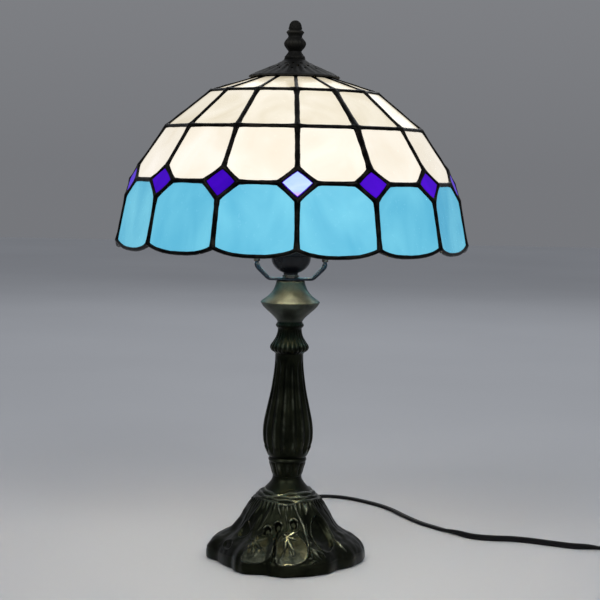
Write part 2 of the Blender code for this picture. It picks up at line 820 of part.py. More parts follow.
def make_stand():
    felt = bmesh.new()
    rim = []
    for k in range(36):
        angle = math.tau * k / 36
        r = FELT_RADIUS * lobe_radius(angle) / BASE_RADIUS
        rim.append(felt.verts.new(millimetres((r * math.cos(angle), r * math.sin(angle), 0.0))))
    underside = felt.faces.new(rim)
    topside = bmesh.ops.extrude_face_region(felt, geom=[underside])
    lifted = [v for v in topside["geom"] if isinstance(v, bmesh.types.BMVert)]
    bmesh.ops.translate(felt, verts=lifted, vec=millimetres((0.0, 0.0, FELT_THICKNESS)))
    bmesh.ops.recalc_face_normals(felt, faces=felt.faces)
    add("base_felt", finished(felt, "base_felt"), "green_felt", smooth=False)
    base = add(
        "base_casting",
        lobed_mesh(
            "base_casting",
            (
                (PIPE_HOLE, BASE_TOP),
                (12.6, BASE_TOP),
                (14.2, 69.0),
                (18.2, 63.9),
                (25.5, 57.6),
                (31.0, 51.2),
                (35.6, 44.6),
                (40.2, 37.0),
                (45.6, 30.2),
                (51.0, 26.2),
                (57.0, 23.2),
                (63.6, 19.6),
                (67.4, 14.2),
                (BASE_RADIUS, 8.5),
                (BASE_RADIUS - 0.3, GAP),
                (66.3, GAP),
                (66.3, BASE_FOOT),
                (63.6, BASE_FOOT),
                (62.6, 14.0),
                (48.0, 22.0),
                (33.0, 36.0),
                (26.0, BASE_CEILING),
                (PIPE_HOLE, BASE_CEILING),
            ),
        ),
        "dark_bronze",
    )
    sideways = Matrix.Rotation(math.pi / 2, 4, "X")
    cord_hole = cylinder_mesh("cord_hole", 4.4, 20.0, 14, turn=sideways)
    combine(base, add_cutter("cord_hole", cord_hole, at=(0.0, COLLAR_FACE - 4.0, BUSHING_HEIGHT)))
    turned(
        "stem_casting",
        (
            (PIPE_HOLE, STEM_TOP),
            (10.8, STEM_TOP),
            (11.9, 205.6),
            (10.4, 202.9),
            (12.0, 195.4),
            (15.6, 190.3),
            (16.2, 187.5),
            (14.9, 184.8),
            (11.8, 180.8),
            (12.9, 163.8),
            (15.2, 148.0),
            (18.5, 132.3),
            (20.6, 121.8),
            (21.3, 113.0),
            (20.4, 103.3),
            (18.7, 97.4),
            (15.4, 90.0),
            (15.9, 87.6),
            (14.0, 82.4),
            (12.6, STEM_FOOT),
            (PIPE_HOLE, STEM_FOOT),
        ),
        "dark_bronze", segments=20, closed=True,
    )
    turned(
        "bell_cap",
        (
            (PIPE_HOLE, BELL_TOP),
            (12.4, BELL_TOP),
            (13.6, 239.6),
            (16.3, 234.4),
            (21.4, 229.4),
            (25.6, 226.0),
            (25.6, 225.0),
            (22.6, 221.8),
            (19.1, 218.9),
            (12.8, 213.6),
            (10.8, BELL_FOOT),
            (PIPE_HOLE, BELL_FOOT),
        ),
        "dark_bronze", segments=20, closed=True,
    )
    turned(
        "threaded_pipe",
        (
            (PIPE_BORE, PIPE_TOP),
            (PIPE_RADIUS, PIPE_TOP),
            (PIPE_RADIUS, PIPE_FOOT),
            (PIPE_BORE, PIPE_FOOT),
        ),
        "zinc_steel", segments=14, closed=True,
    )
    washer_top = BASE_CEILING - GAP
    turned(
        "bottom_washer",
        (
            (PIPE_HOLE, washer_top),
            (14.0, washer_top),
            (14.0, washer_top - 1.6),
            (PIPE_HOLE, washer_top - 1.6),
        ),
        "zinc_steel", segments=16, closed=True,
    )
    nut_top = washer_top - 1.6 - GAP
    hex_nut("bottom_nut", nut_top - 4.0, nut_top, 14.0, "zinc_steel")
    hex_nut("saddle_locknut", LOCKNUT_FOOT, LOCKNUT_TOP, LOCKNUT_ACROSS_FLATS, "harp_bronze")


# ---- mains lead ------------------------------------------------------------------------------------


def make_bushing():
    """A tapered strain relief with a collar, lying along +Y through the back of the foot."""
    outline = (
        (2.4, BUSHING_OUTER_END),
        (3.4, BUSHING_OUTER_END),
        (4.2, COLLAR_FACE + 3.0),
        (5.6, COLLAR_FACE + 2.4),
        (5.6, COLLAR_FACE),
        (4.0, COLLAR_FACE),
        (4.0, BUSHING_INNER_END),
        (2.4, BUSHING_INNER_END),
    )
    ob = turned("cord_bushing", outline, "black_vinyl", segments=12, closed=True)
    ob.rotation_euler.x = -math.pi / 2
    ob.location = millimetres((0.0, BUSHING_INNER_END, BUSHING_HEIGHT))


def make_switch():
    centre = SWITCH_START + Vector((SWITCH_LENGTH / 2, 0.0, SWITCH_HEIGHT / 2))
    housing = add(
        "switch_housing", box_mesh("switch_housing", (SWITCH_LENGTH, SWITCH_WIDTH, SWITCH_HEIGHT)),
        "black_vinyl", at=centre, smooth=False,
    )
    round_edges(housing, 4.0)
    well_length, well_width, well_floor = 19.0, 9.6, 6.0
    depth = SWITCH_HEIGHT - well_floor + 4.0
    well = box_mesh("rocker_well", (well_length, well_width, depth))
    well_at = Vector((centre.x, centre.y, well_floor + depth / 2))
    combine(housing, add_cutter("rocker_well", well, at=well_at))
    pivot = add_axis("rocker_axis", (centre.x, centre.y, 13.2))
    rocker = add(
        "switch_rocker", box_mesh("switch_rocker", (17.2, 8.8, 7.6)), "black_phenolic",
        parent=pivot, smooth=False,
    )
    round_edges(rocker, 1.2)
    rocker.rotation_euler.y = ROCKER_TILT


def make_coil():
    """The wound spare cord, with the two straight leads that run off its outer turn."""
    coil = turned(
        "cord_coil",
        (
            (COIL_INNER, COIL_HEIGHT),
            (COIL_OUTER - 1.0, COIL_HEIGHT),
            (COIL_OUTER, COIL_HEIGHT - 1.0),
            (COIL_OUTER, 0.0),
            (COIL_INNER, 0.0),
        ),
        "black_vinyl", segments=28, closed=True, axis_at=(COIL_CENTRE.x, COIL_CENTRE.y),
    )
    lead = (LEAD_LENGTH, 5.2, 3.4)
    for name, side, height in (("lead_to_switch", -1, 1.9), ("lead_to_plug", 1, 4.8)):
        at = COIL_CENTRE + Vector((-LEAD_LENGTH / 2, side * COIL_TURN, height))
        combine(coil, add_cutter(name, box_mesh(name, lead), at=at), "UNION")


def make_plug():
    cord_face = COIL_CENTRE.x - LEAD_LENGTH - GAP
    centre = Vector((cord_face - PLUG_LENGTH / 2, COIL_CENTRE.y + COIL_TURN, PLUG_HEIGHT / 2))
    plug = add(
        "plug", box_mesh("plug", (PLUG_LENGTH, PLUG_WIDTH, PLUG_HEIGHT)), "black_vinyl",
        at=centre, smooth=False,
    )
    round_edges(plug, 3.0)
    for name, side in (("blade_near", -1), ("blade_far", 1)):
        blade = box_mesh(name, (BLADE_LENGTH + 4.0, BLADE_THICKNESS, BLADE_WIDTH))
        at = centre + Vector(
            (-(PLUG_LENGTH + BLADE_LENGTH - 4.0) / 2, side * BLADE_SPACING / 2, 0.0)
        )
        combine(plug, add_cutter(name, blade, at=at), "UNION")


def make_lead():
    make_bushing()
    tube("cord", smooth_path(CORD_ROUTE, CORD_SPACING), CORD_RADIUS, "black_vinyl")
    make_switch()
    make_coil()
    make_plug()


# ---- the lamp ----------------------------------------------------------------------------------------


def make_lamp():
    lift_axis = add_axis("lift_axis", (0.0, 0.0, 0.0))
    make_stand()
    make_saddle()
    make_socket()
    make_bulb(lift_axis)
    make_harp(lift_axis)
    make_ferrules(lift_axis)
    make_shade_rest(lift_axis)
    make_shade(lift_axis)
    make_vented_cap(lift_axis)
    make_finial(lift_axis)
    make_lead()


make_lamp()
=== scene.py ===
"""Looks of the leaded-glass table lamp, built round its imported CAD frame.

Shapes are written in millimetres in the frame's own axes (+Z up, front towards -Y), and their
seats and radii come from the CAD nodes that they stand for.
"""

import math

import bmesh
import bpy
import numpy as np
from mathutils import Matrix, Vector, noise


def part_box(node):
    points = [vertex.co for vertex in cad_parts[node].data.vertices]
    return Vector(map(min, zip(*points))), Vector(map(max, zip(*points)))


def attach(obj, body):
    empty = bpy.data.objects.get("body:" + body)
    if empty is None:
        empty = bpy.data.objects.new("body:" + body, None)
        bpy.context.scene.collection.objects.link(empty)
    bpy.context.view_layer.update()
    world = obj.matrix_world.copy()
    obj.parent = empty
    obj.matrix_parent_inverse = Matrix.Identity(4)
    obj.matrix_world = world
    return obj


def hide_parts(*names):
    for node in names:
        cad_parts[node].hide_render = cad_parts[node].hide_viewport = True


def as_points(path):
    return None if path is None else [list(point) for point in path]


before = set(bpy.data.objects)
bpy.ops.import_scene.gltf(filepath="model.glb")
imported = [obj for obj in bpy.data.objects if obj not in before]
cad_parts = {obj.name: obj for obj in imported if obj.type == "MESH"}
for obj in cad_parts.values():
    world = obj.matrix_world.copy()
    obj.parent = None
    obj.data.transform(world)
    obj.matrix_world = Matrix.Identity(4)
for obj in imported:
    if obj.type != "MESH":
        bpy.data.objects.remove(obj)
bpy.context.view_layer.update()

MM = 0.001
PANELS = 14
FRONT = -math.pi / 2  # the angle of the shade's first seam
SCENE = bpy.context.scene


def low(node):
    """A CAD node's lowest corner, mm."""
    return Vector(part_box(node)[0]) / MM


def high(node):
    return Vector(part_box(node)[1]) / MM


def radius_of(node):
    return (high(node).x - low(node).x) / 2


SHADE_FOOT = low("lead_lattice").z
RIM_RADIUS = (high("lead_lattice").y - low("lead_lattice").y) / 2 - 2.1

# Corner circles of the shade's middle surface: radius as a share of the rim's, height over the foot
APERTURE = (0.2061 * RIM_RADIUS, SHADE_FOOT + 145.3)
ROW_1_FOOT = (0.4774 * RIM_RADIUS, SHADE_FOOT + 132.5)
ROW_2_FOOT = (0.7294 * RIM_RADIUS, SHADE_FOOT + 101.9)
ROW_3_FOOT = (0.9322 * RIM_RADIUS, SHADE_FOOT + 57.3)
RIM = (RIM_RADIUS, SHADE_FOOT + 5.9)
JEWEL_HALF_WIDTH, JEWEL_HALF_HEIGHT = 15.5, 13.9


# ---- camera ----

CAMERA_DISTANCE = 1395.0
CAMERA_HEIGHT = 341.6
CAMERA_TURN = math.radians(1.6)  # round the lamp, so that the front seam stands right of the axis
CAMERA_LENS = 96.9
CAMERA_ROLL = math.radians(1.1)
AIM_HEIGHT = 227.3
AIM_RIGHT = 8.4


def make_camera():
    data = bpy.data.cameras.new("camera")
    data.lens = CAMERA_LENS
    data.sensor_width = 36.0
    data.clip_start = 0.05
    data.clip_end = 50.0
    camera = bpy.data.objects.new("camera", data)
    SCENE.collection.objects.link(camera)
    turn = Matrix.Rotation(-CAMERA_TURN, 3, "Z")
    place = turn @ Vector((0.0, -CAMERA_DISTANCE, CAMERA_HEIGHT)) * MM
    aim = turn @ Vector((AIM_RIGHT, 0.0, AIM_HEIGHT)) * MM
    facing = (aim - place).to_track_quat("-Z", "Y").to_matrix()
    rolled = facing @ Matrix.Rotation(CAMERA_ROLL, 3, "Z")
    camera.matrix_world = Matrix.Translation(place) @ rolled.to_4x4()
    SCENE.camera = camera


# ---- materials ----


class Nodes:
    """A material's node tree, with short calls for adding nodes to it."""

    def __init__(self, name):
        self.material = bpy.data.materials.new(name)
        self.material.use_nodes = True
        self.tree = self.material.node_tree
        self.shader = self.tree.nodes["Principled BSDF"]
        self.place = self.add("ShaderNodeTexCoord").outputs["Object"]

    def set(self, socket, value):
        if isinstance(value, bpy.types.NodeSocket):
            self.tree.links.new(value, socket)
        elif hasattr(socket.default_value, "__len__") and len(socket.default_value) == 4:
            socket.default_value = (*value, 1.0)[:4]
        else:
            socket.default_value = value

    def add(self, kind, inputs=None, **settings):
        node = self.tree.nodes.new(kind)
        for key, value in settings.items():
            setattr(node, key, value)
        for key, value in (inputs or {}).items():
            self.set(node.inputs[key], value)
        return node

    def noise(self, scale, detail=3.0, roughness=0.5, distortion=0.0, at=None):
        inputs = {"Vector": at or self.place, "Scale": scale, "Detail": detail,
                  "Roughness": roughness, "Distortion": distortion}
        return self.add("ShaderNodeTexNoise", inputs).outputs["Fac"]

    def stretched(self, scale, at=None):
        node = self.add("ShaderNodeMapping", {"Vector": at or self.place})
        node.inputs["Scale"].default_value = scale
        return node.outputs["Vector"]

    def ramp(self, value, start, end, low_value=0.0, high_value=1.0):
        inputs = {"Value": value, "From Min": start, "From Max": end,
                  "To Min": low_value, "To Max": high_value}
        return self.add("ShaderNodeMapRange", inputs, clamp=True).outputs["Result"]

    def math(self, operation, a, b=0.0):
        return self.add("ShaderNodeMath", {0: a, 1: b}, operation=operation).outputs[0]

    def mix(self, share, a, b, blend="MIX"):
        node = self.add("ShaderNodeMix", data_type="RGBA", blend_type=blend)
        self.set(node.inputs[0], share)
        self.set(node.inputs[6], a)
        self.set(node.inputs[7], b)
        return node.outputs[2]

    def attribute(self, name):
        return self.add("ShaderNodeAttribute", attribute_name=name).outputs["Fac"]

    def bump(self, height, strength, distance):
        inputs = {"Height": height, "Strength": strength, "Distance": distance * MM}
        self.set(self.shader.inputs["Normal"], self.add("ShaderNodeBump", inputs).outputs["Normal"])

    def finish(self, **sockets):
        for name, value in sockets.items():
            self.set(self.shader.inputs[name.replace("_", " ")], value)
        return self.material


def glass_material(name, deep, pale, glow, streak, roughness=0.16, base_share=0.55, gloss=0.4,
                   tip=None):
    """Opalescent art glass, with the bulb's light through it painted in as a glow (emission): wisps
    of two tones, drawn out upwards.
    """
    n = Nodes(name)
    chance = n.add("ShaderNodeObjectInfo").outputs["Random"]
    drift = n.add("ShaderNodeVectorMath", {0: n.place, 1: (0.0, 0.0, 0.0)}, operation="ADD")
    shift = n.add("ShaderNodeCombineXYZ", {"X": n.math("MULTIPLY", chance, 3.1),
                                          "Y": n.math("MULTIPLY", chance, 5.3),
                                          "Z": n.math("MULTIPLY", chance, 1.7)})
    n.set(drift.inputs[1], shift.outputs[0])
    drawn_out = n.stretched((1.0, 1.0, streak), at=drift.outputs[0])
    wisps = n.noise(24.0, 3.0, 0.5, 0.9, at=drawn_out)
    clouds = n.noise(9.0, 2.0, 0.5, 0.6, at=drift.outputs[0])
    tone = n.math("MULTIPLY", n.ramp(wisps, 0.32, 0.68), 0.65)
    tone = n.math("ADD", tone, n.ramp(clouds, 0.35, 0.65, 0.0, 0.35))
    tone = n.math("ADD", tone, n.ramp(chance, 0.0, 1.0, -0.16, 0.16))
    colour = n.mix(n.ramp(tone, 0.0, 1.0), deep, pale)
    if tip:
        # The lit jewel's colour, painted glow included, turns to the tip colour towards its lower
        # point.
        height = n.add("ShaderNodeSeparateXYZ", {"Vector": n.place}).outputs["Z"]
        tip_height = n.math("ADD", n.math("MULTIPLY", height, 1000.0), n.math("MULTIPLY", wisps, 9.0))
        lowest = ROW_3_FOOT[1] - JEWEL_HALF_HEIGHT
        colour = n.mix(n.ramp(tip_height, lowest + 7.0, lowest + 12.0, 1.0, 0.0), colour, tip)
    seedy = n.noise(260.0, 2.0, 0.6)
    ripple = n.noise(45.0, 2.0, 0.4, at=drift.outputs[0])
    n.bump(n.math("ADD", n.math("MULTIPLY", seedy, 0.12), ripple), 0.25, 0.6)
    # Painted glow: the bulb's light through the glass is emission in the glass's colour, at
    # strength glow; the reflected colour is darkened by base_share.
    dark = n.mix(1.0, colour, (base_share, base_share, base_share), "MULTIPLY")
    return n.finish(Base_Color=dark, Roughness=n.ramp(seedy, 0.3, 0.7, roughness, roughness + 0.12),
                    Emission_Color=colour, Emission_Strength=glow, Specular_IOR_Level=gloss,
                    IOR=1.5)


def solder_material():
    n = Nodes("solder_patina")
    mottle = n.noise(120.0, 4.0, 0.6)
    colour = n.mix(n.ramp(mottle, 0.42, 0.74), (0.003, 0.003, 0.003), (0.020, 0.018, 0.015))
    grain = n.noise(420.0, 3.0, 0.6)
    n.bump(n.math("ADD", n.math("MULTIPLY", grain, 0.35), mottle), 0.3, 0.35)
    return n.finish(Base_Color=colour, Metallic=1.0,
                    Roughness=n.ramp(mottle, 0.3, 0.7, 0.30, 0.50))


def bronze_material(name, deep, body, rubbed_and_highlight_tone, worn_and_highlight, wear_gain=1.0, roughness=0.36,
                    metallic=1.0, gloss=0.5):
    """Cast metal with a dark patina that is rubbed through to the metal on raised edges. Its wear
    attribute also carries painted highlights and sheen on the foot, and painted light on the bell.
    """
    n = Nodes(name)
    wear = n.attribute("wear")
    patches = n.noise(48.0, 4.0, 0.6)
    fine = n.noise(300.0, 4.0, 0.65)
    rubbed_and_highlight = n.math("MULTIPLY", wear, n.ramp(patches, 0.36, 0.62, 0.25, 1.0))
    rubbed_and_highlight = n.math("MULTIPLY", rubbed_and_highlight, n.ramp(fine, 0.30, 0.56, 0.45, 1.0))
    rubbed_and_highlight = n.math("ADD", n.math("MULTIPLY", rubbed_and_highlight, wear_gain),
                    n.ramp(fine, 0.66, 0.86, 0.0, 0.08))
    dark = n.mix(n.ramp(patches, 0.35, 0.70), deep, body)
    colour = n.mix(n.ramp(rubbed_and_highlight, 0.02, 0.40), dark, rubbed_and_highlight_tone)
    colour = n.mix(n.ramp(rubbed_and_highlight, 0.35, 0.95), colour, worn_and_highlight)
    n.bump(n.math("ADD", n.math("MULTIPLY", fine, 0.6), patches), 0.24, 0.25)
    return n.finish(Base_Color=colour, Metallic=metallic, Specular_IOR_Level=gloss,
                    Roughness=n.ramp(rubbed_and_highlight, 0.0, 0.8, roughness + 0.08, roughness - 0.06))


def metal_material(name, colour, shade, roughness):
    n = Nodes(name)
    lines = n.noise(300.0, 3.0, 0.6, at=n.stretched((1.0, 1.0, 1.0)))
    stain = n.noise(60.0, 4.0, 0.6)
    n.bump(lines, 0.15, 0.12)
    return n.finish(Base_Color=n.mix(n.ramp(stain, 0.35, 0.75), colour, shade), Metallic=1.0,
                    Roughness=n.ramp(lines, 0.3, 0.7, roughness - 0.06, roughness + 0.10))


def plastic_material(name, colour, sheen_colour, roughness, grain=500.0, bump=0.15, gloss=0.22):
    n = Nodes(name)
    texture = n.noise(grain, 2.0, 0.5)
    smear = n.noise(35.0, 4.0, 0.6)
    n.bump(texture, bump, 0.12)
    return n.finish(Base_Color=n.mix(n.ramp(smear, 0.4, 0.8), colour, sheen_colour),
                    Specular_IOR_Level=gloss,
                    Roughness=n.ramp(smear, 0.3, 0.7, roughness - 0.05, roughness + 0.10))


def felt_material():
    n = Nodes("green_felt")
    fibres = n.noise(900.0, 3.0, 0.7, at=n.stretched((1.0, 1.0, 0.4)))
    tufts = n.noise(140.0, 4.0, 0.7)
    n.bump(n.math("ADD", fibres, tufts), 0.8, 0.5)
    colour = n.mix(n.ramp(fibres, 0.35, 0.65), (0.012, 0.035, 0.016), (0.05, 0.10, 0.055))
    return n.finish(Base_Color=colour, Roughness=0.96, Sheen_Weight=0.6, Sheen_Roughness=0.5)


def bulb_material():
    n = Nodes("frosted_bulb")
    frost = n.noise(240.0, 3.0, 0.6)
    n.bump(frost, 0.1, 0.1)
    glow = n.mix(n.ramp(frost, 0.3, 0.7), (1.0, 0.86, 0.66), (1.0, 0.90, 0.74))
    return n.finish(Base_Color=(0.9, 0.88, 0.82), Roughness=0.45, Emission_Color=glow,
                    Emission_Strength=64.0)


def floor_material():
    n = Nodes("pale_floor")
    cloud = n.noise(1.6, 3.0, 0.5)
    colour = n.mix(n.ramp(cloud, 0.3, 0.7), (0.430, 0.442, 0.472), (0.462, 0.475, 0.505))
    return n.finish(Base_Color=colour, Roughness=0.6, Specular_IOR_Level=0.2)


MATERIALS = {  # the record's slot, and the finish
    "solder": ("leading", solder_material()),
    "cream": ("cream_glass", glass_material(
        "cream_glass", (0.68, 0.58, 0.40), (0.88, 0.81, 0.66), 0.61, 1.0)),
    # The second row's copy of the cream glass, painted lighter and with a stronger painted glow,
    # because the bulb lights that row more than the top one.
    "upper": ("cream_glass", glass_material(
        "cream_glass_painted_lighter", (0.74, 0.66, 0.50), (0.90, 0.84, 0.72), 0.64, 1.0)),
    "white": ("warm_white_glass", glass_material(
        "white_glass", (0.80, 0.72, 0.58), (0.94, 0.88, 0.79), 0.70, 0.7)),
    "blue": ("blue_glass", glass_material(
        "blue_glass", (0.070, 0.37, 0.56), (0.165, 0.55, 0.71), 0.79, 0.45)),
    "violet": ("violet_glass", glass_material(
        "violet_glass", (0.040, 0.0, 0.46), (0.10, 0.0, 0.80), 0.88, 1.0,
        roughness=0.08, base_share=0.10, gloss=0.08)),
    # The front jewel, with the bulb behind it painted in as a pale blue glow that turns rose at its
    # lower tip.
    "lit_jewel": ("violet_glass", glass_material(
        "lit_jewel", (0.22, 0.42, 0.86), (0.84, 0.93, 1.0), 1.05, 1.0,
        roughness=0.08, base_share=0.2, gloss=0.1, tip=(0.80, 0.22, 0.74))),
    "bronze": ("dark_bronze", bronze_material(
        "dark_bronze", (0.005, 0.006, 0.004), (0.018, 0.020, 0.012), (0.086, 0.093, 0.071),
        (0.47, 0.48, 0.29), wear_gain=1.15, roughness=0.29)),
    # The bell's copy of the dark bronze, painted lighter as painted light from the bulb above it.
    "bell": ("dark_bronze", bronze_material(
        "bell_bronze_painted_lit", (0.030, 0.034, 0.028), (0.090, 0.100, 0.078), (0.13, 0.14, 0.105),
        (0.28, 0.29, 0.20), wear_gain=0.6, roughness=0.34)),
    "cap": ("cap_bronze", bronze_material(
        "cap_bronze", (0.003, 0.003, 0.003), (0.008, 0.008, 0.007), (0.05, 0.046, 0.038),
        (0.34, 0.31, 0.25), wear_gain=0.7, roughness=0.50, metallic=0.18, gloss=0.12)),
    "saddle": ("harp_bronze", metal_material(
        "saddle_steel", (0.035, 0.040, 0.050), (0.075, 0.082, 0.10), 0.32)),
    "harp": ("harp_bronze", metal_material(
        "harp_bronze", (0.10, 0.085, 0.065), (0.20, 0.18, 0.15), 0.30)),
    "brass": ("brass", metal_material(
        "turned_brass", (0.60, 0.42, 0.17), (0.74, 0.56, 0.28), 0.28)),
    "zinc": ("zinc_steel", metal_material(
        "zinc_plate", (0.52, 0.53, 0.53), (0.66, 0.66, 0.64), 0.32)),
    "aluminium": ("shell_aluminium", metal_material(
        "thin_aluminium", (0.70, 0.70, 0.70), (0.82, 0.82, 0.82), 0.26)),
    "phenolic": ("black_phenolic", plastic_material(
        "black_phenolic", (0.004, 0.004, 0.006), (0.012, 0.012, 0.014), 0.28)),
    "vinyl": ("black_vinyl", plastic_material(
        "black_vinyl", (0.003, 0.003, 0.004), (0.007, 0.007, 0.008), 0.5, gloss=0.12)),
    "housing": ("black_vinyl", plastic_material(
        "moulded_housing", (0.006, 0.006, 0.006), (0.016, 0.016, 0.016), 0.5,
        grain=900.0, bump=0.35)),
    "felt": ("felt", felt_material()),
    "bulb": ("frosted_glass", bulb_material()),
}


# ---- mesh makers ----


def build_mesh(name, shape):
    """A mesh from a closed shape, its points in millimetres and its faces turned outwards."""
    points, faces = shape
    mesh = bpy.data.meshes.new(name)
    mesh.from_pydata((np.asarray(points, dtype=float) * MM).tolist(), [], faces)
    bm = bmesh.new()
    bm.from_mesh(mesh)
    bmesh.ops.recalc_face_normals(bm, faces=bm.faces)
    bm.to_mesh(mesh)
    bm.free()
    return mesh


def piece(name, shape, material, body, stands_for=(), wear=None, sharp=40):
    """A visible piece that rides on a body and takes the place of CAD nodes."""
    mesh = build_mesh(name, shape)
    if wear is not None:
        attribute = mesh.attributes.new("wear", "FLOAT", "POINT")
        attribute.data.foreach_set("value", np.asarray(wear, dtype=np.float32).ravel())
    slot, finish = MATERIALS[material]
    mesh.materials.append(finish)
    mesh.shade_smooth()
    mesh.set_sharp_from_angle(angle=math.radians(sharp))
    ob = bpy.data.objects.new(name, mesh)
    SCENE.collection.objects.link(ob)
    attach(ob, body)
    if stands_for:
        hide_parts(*stands_for)
    return ob


def cut(ob, shapes, operation="DIFFERENCE"):
    """Cuts closed shapes out of a piece, or joins them to it."""
    tool = bpy.data.objects.new("tool", build_mesh("tool", many(shapes)))
    SCENE.collection.objects.link(tool)
    mod = ob.modifiers.new("cut", "BOOLEAN")
    mod.operation = operation
    mod.object = tool
    mod.solver = "EXACT"
    bpy.context.view_layer.update()
    result = ob.evaluated_get(bpy.context.evaluated_depsgraph_get())
    made = bpy.data.meshes.new_from_object(result)
    ob.modifiers.remove(mod)
    ob.data = made
    made.shade_smooth()
    made.set_sharp_from_angle(angle=math.radians(35))
    bpy.data.objects.remove(tool, do_unlink=True)


def smoothstep(value, start, end):
    t = np.clip((value - start) / (end - start), 0.0, 1.0)
    return t * t * (3 - 2 * t)


def plateau(value, start, full, fading, end):
    """Rises from start to full, and falls again from fading to end."""
    return smoothstep(value, start, full) * (1 - smoothstep(value, fading, end))


def hill(value, middle, spread):
    return np.exp(-(((value - middle) / spread) ** 2))


def through(points, spacing):
    """Points about a fixed distance apart on a smooth curve through the given ones."""
    pts = [np.asarray(p, dtype=float) for p in points]
    if len(pts) == 2:
        count = max(1, round(np.linalg.norm(pts[1] - pts[0]) / spacing))
        return [pts[0] + (pts[1] - pts[0]) * k / count for k in range(count + 1)]
    ends = [pts[0] * 2 - pts[1], *pts, pts[-1] * 2 - pts[-2]]
    dense = []
    for a, b, c, d in zip(ends, ends[1:], ends[2:], ends[3:]):
        for t in np.linspace(0.0, 1.0, 24, endpoint=False):
            dense.append(0.5 * (2 * b + (c - a) * t + (2 * a - 5 * b + 4 * c - d) * t**2
                                + (3 * b - a - 3 * c + d) * t**3))
    dense = np.array(dense + [pts[-1]])
    along = np.concatenate(([0.0], np.cumsum(np.linalg.norm(np.diff(dense, axis=0), axis=1))))
    want = np.linspace(0.0, along[-1], max(2, round(along[-1] / spacing)) + 1)
    return list(np.column_stack([np.interp(want, along, axis) for axis in dense.T]))


def outline(spacing, *runs):
    """A turned piece's outline from smooth runs, each from the corner where the last one ends."""
    out, start = [], []
    for run in runs:
        out += through(start + run, spacing)[len(start):]
        start = run[-1:]
    return np.array(out)


def closed_outline(spacing, *runs):
    """An outline whose last run is followed by a straight one back to its first point."""
    return outline(spacing, *runs, runs[0][:1])[:-1]


def ring_about(angle, radius, height):
    """Points round Z, from radii and heights."""
    x, y = radius * np.cos(angle), radius * np.sin(angle)
    return list(zip(*np.broadcast_arrays(x, y, height)))


def closed_skin(rings, count):
    """Faces over rings of count points, whose last ring meets the first."""
    faces = []
    for a in range(0, rings * count, count):
        b = (a + count) % (rings * count)
        for j in range(count):
            k = (j + 1) % count
            faces.append((a + j, b + j, b + k, a + k))
    return faces


def lathe(line, segments, closed=False, shape=None):
    """An outline turned about Z. shape(angle, radius, height) may change each ring of it."""
    rings, faces, points = [], [], []
    angle = np.arange(segments) * math.tau / segments
    for r, z in line:
        if r < 1e-6 and not closed:
            rings.append([len(points)])
            points.append((0.0, 0.0, z))
            continue
        rr, zz = np.full(segments, r), np.full(segments, z)
        if shape:
            rr, zz = shape(angle, rr, zz)
        rings.append(list(range(len(points), len(points) + segments)))
        points += ring_about(angle, rr, zz)
    for upper, lower in zip(rings, rings[1:] + rings[:1] if closed else rings[1:]):
        for j in range(segments):
            k = (j + 1) % segments
            if len(upper) == 1:
                faces.append((upper[0], lower[j], lower[k]))
            elif len(lower) == 1:
                faces.append((upper[j], lower[0], upper[k]))
            else:
                faces.append((upper[j], lower[j], lower[k], upper[k]))
    return points, faces


def turned(name, line, segments, material, body, stands_for=(), closed=False, shape=None,
           at=(0.0, 0.0, 0.0), along="Z", wear=None, sharp=40):
    points, faces = lathe(line, segments, closed, shape)
    if along == "Y":
        points = [(x, z, -y) for x, y, z in points]
    points = [(x + at[0], y + at[1], z + at[2]) for x, y, z in points]
    if wear is not None:
        wear = [wear(p) for p in points]
    return piece(name, (points, faces), material, body, stands_for, wear, sharp)


def loft(rings):
    """A closed skin over rings that have the same number of points."""
    count = len(rings[0])
    last = (len(rings) - 1) * count
    faces = []
    for a in range(0, last, count):
        for j in range(count):
            k = (j + 1) % count
            faces.append((a + j, a + k, a + count + k, a + count + j))
    faces += [tuple(range(count))[::-1], tuple(range(last, last + count))]
    return [tuple(p) for ring in rings for p in ring], faces


def sweep(path, section, up=(0.0, 0.0, 1.0)):
    """Rings of a flat section carried along a path. Its second axis stays near up."""
    path = np.asarray(path, dtype=float)
    forward = np.gradient(path, axis=0)
    forward /= np.linalg.norm(forward, axis=1)[:, None]
    rings = []
    for p, t in zip(path, forward):
        side = np.cross(t, up)
        side /= np.linalg.norm(side)
        over = np.cross(side, t)
        rings.append([p + side * a + over * b for a, b in section])
    return rings


def superellipse(half_a, half_b, power=4.0, sides=40):
    out = []
    for k in range(sides):
        c, s = math.cos(math.tau * k / sides), math.sin(math.tau * k / sides)
        out.append((math.copysign(abs(c) ** (2 / power), c) * half_a,
                    math.copysign(abs(s) ** (2 / power), s) * half_b))
    return out


def ellipse(half_a, half_b, sides):
    return superellipse(half_a, half_b, 2.0, sides)


def prism(section, foot, top, centre=(0.0, 0.0)):
    return loft([[(centre[0] + a, centre[1] + b, z) for a, b in section] for z in (foot, top)])


def rod(radius, length, sides=24, radius_y=None):
    return prism(ellipse(radius, radius_y or radius, sides), -length / 2, length / 2)


def many(shapes):
    """Several closed shapes as one."""
    points, faces = [], []
    for p, f in shapes:
        faces += [tuple(i + len(points) for i in face) for face in f]
        points += [tuple(x) for x in p]
    return points, faces


def moved(shape, matrix):
    points, faces = shape
    return [tuple(matrix @ Vector(p)) for p in points], faces


# ---- shade ----

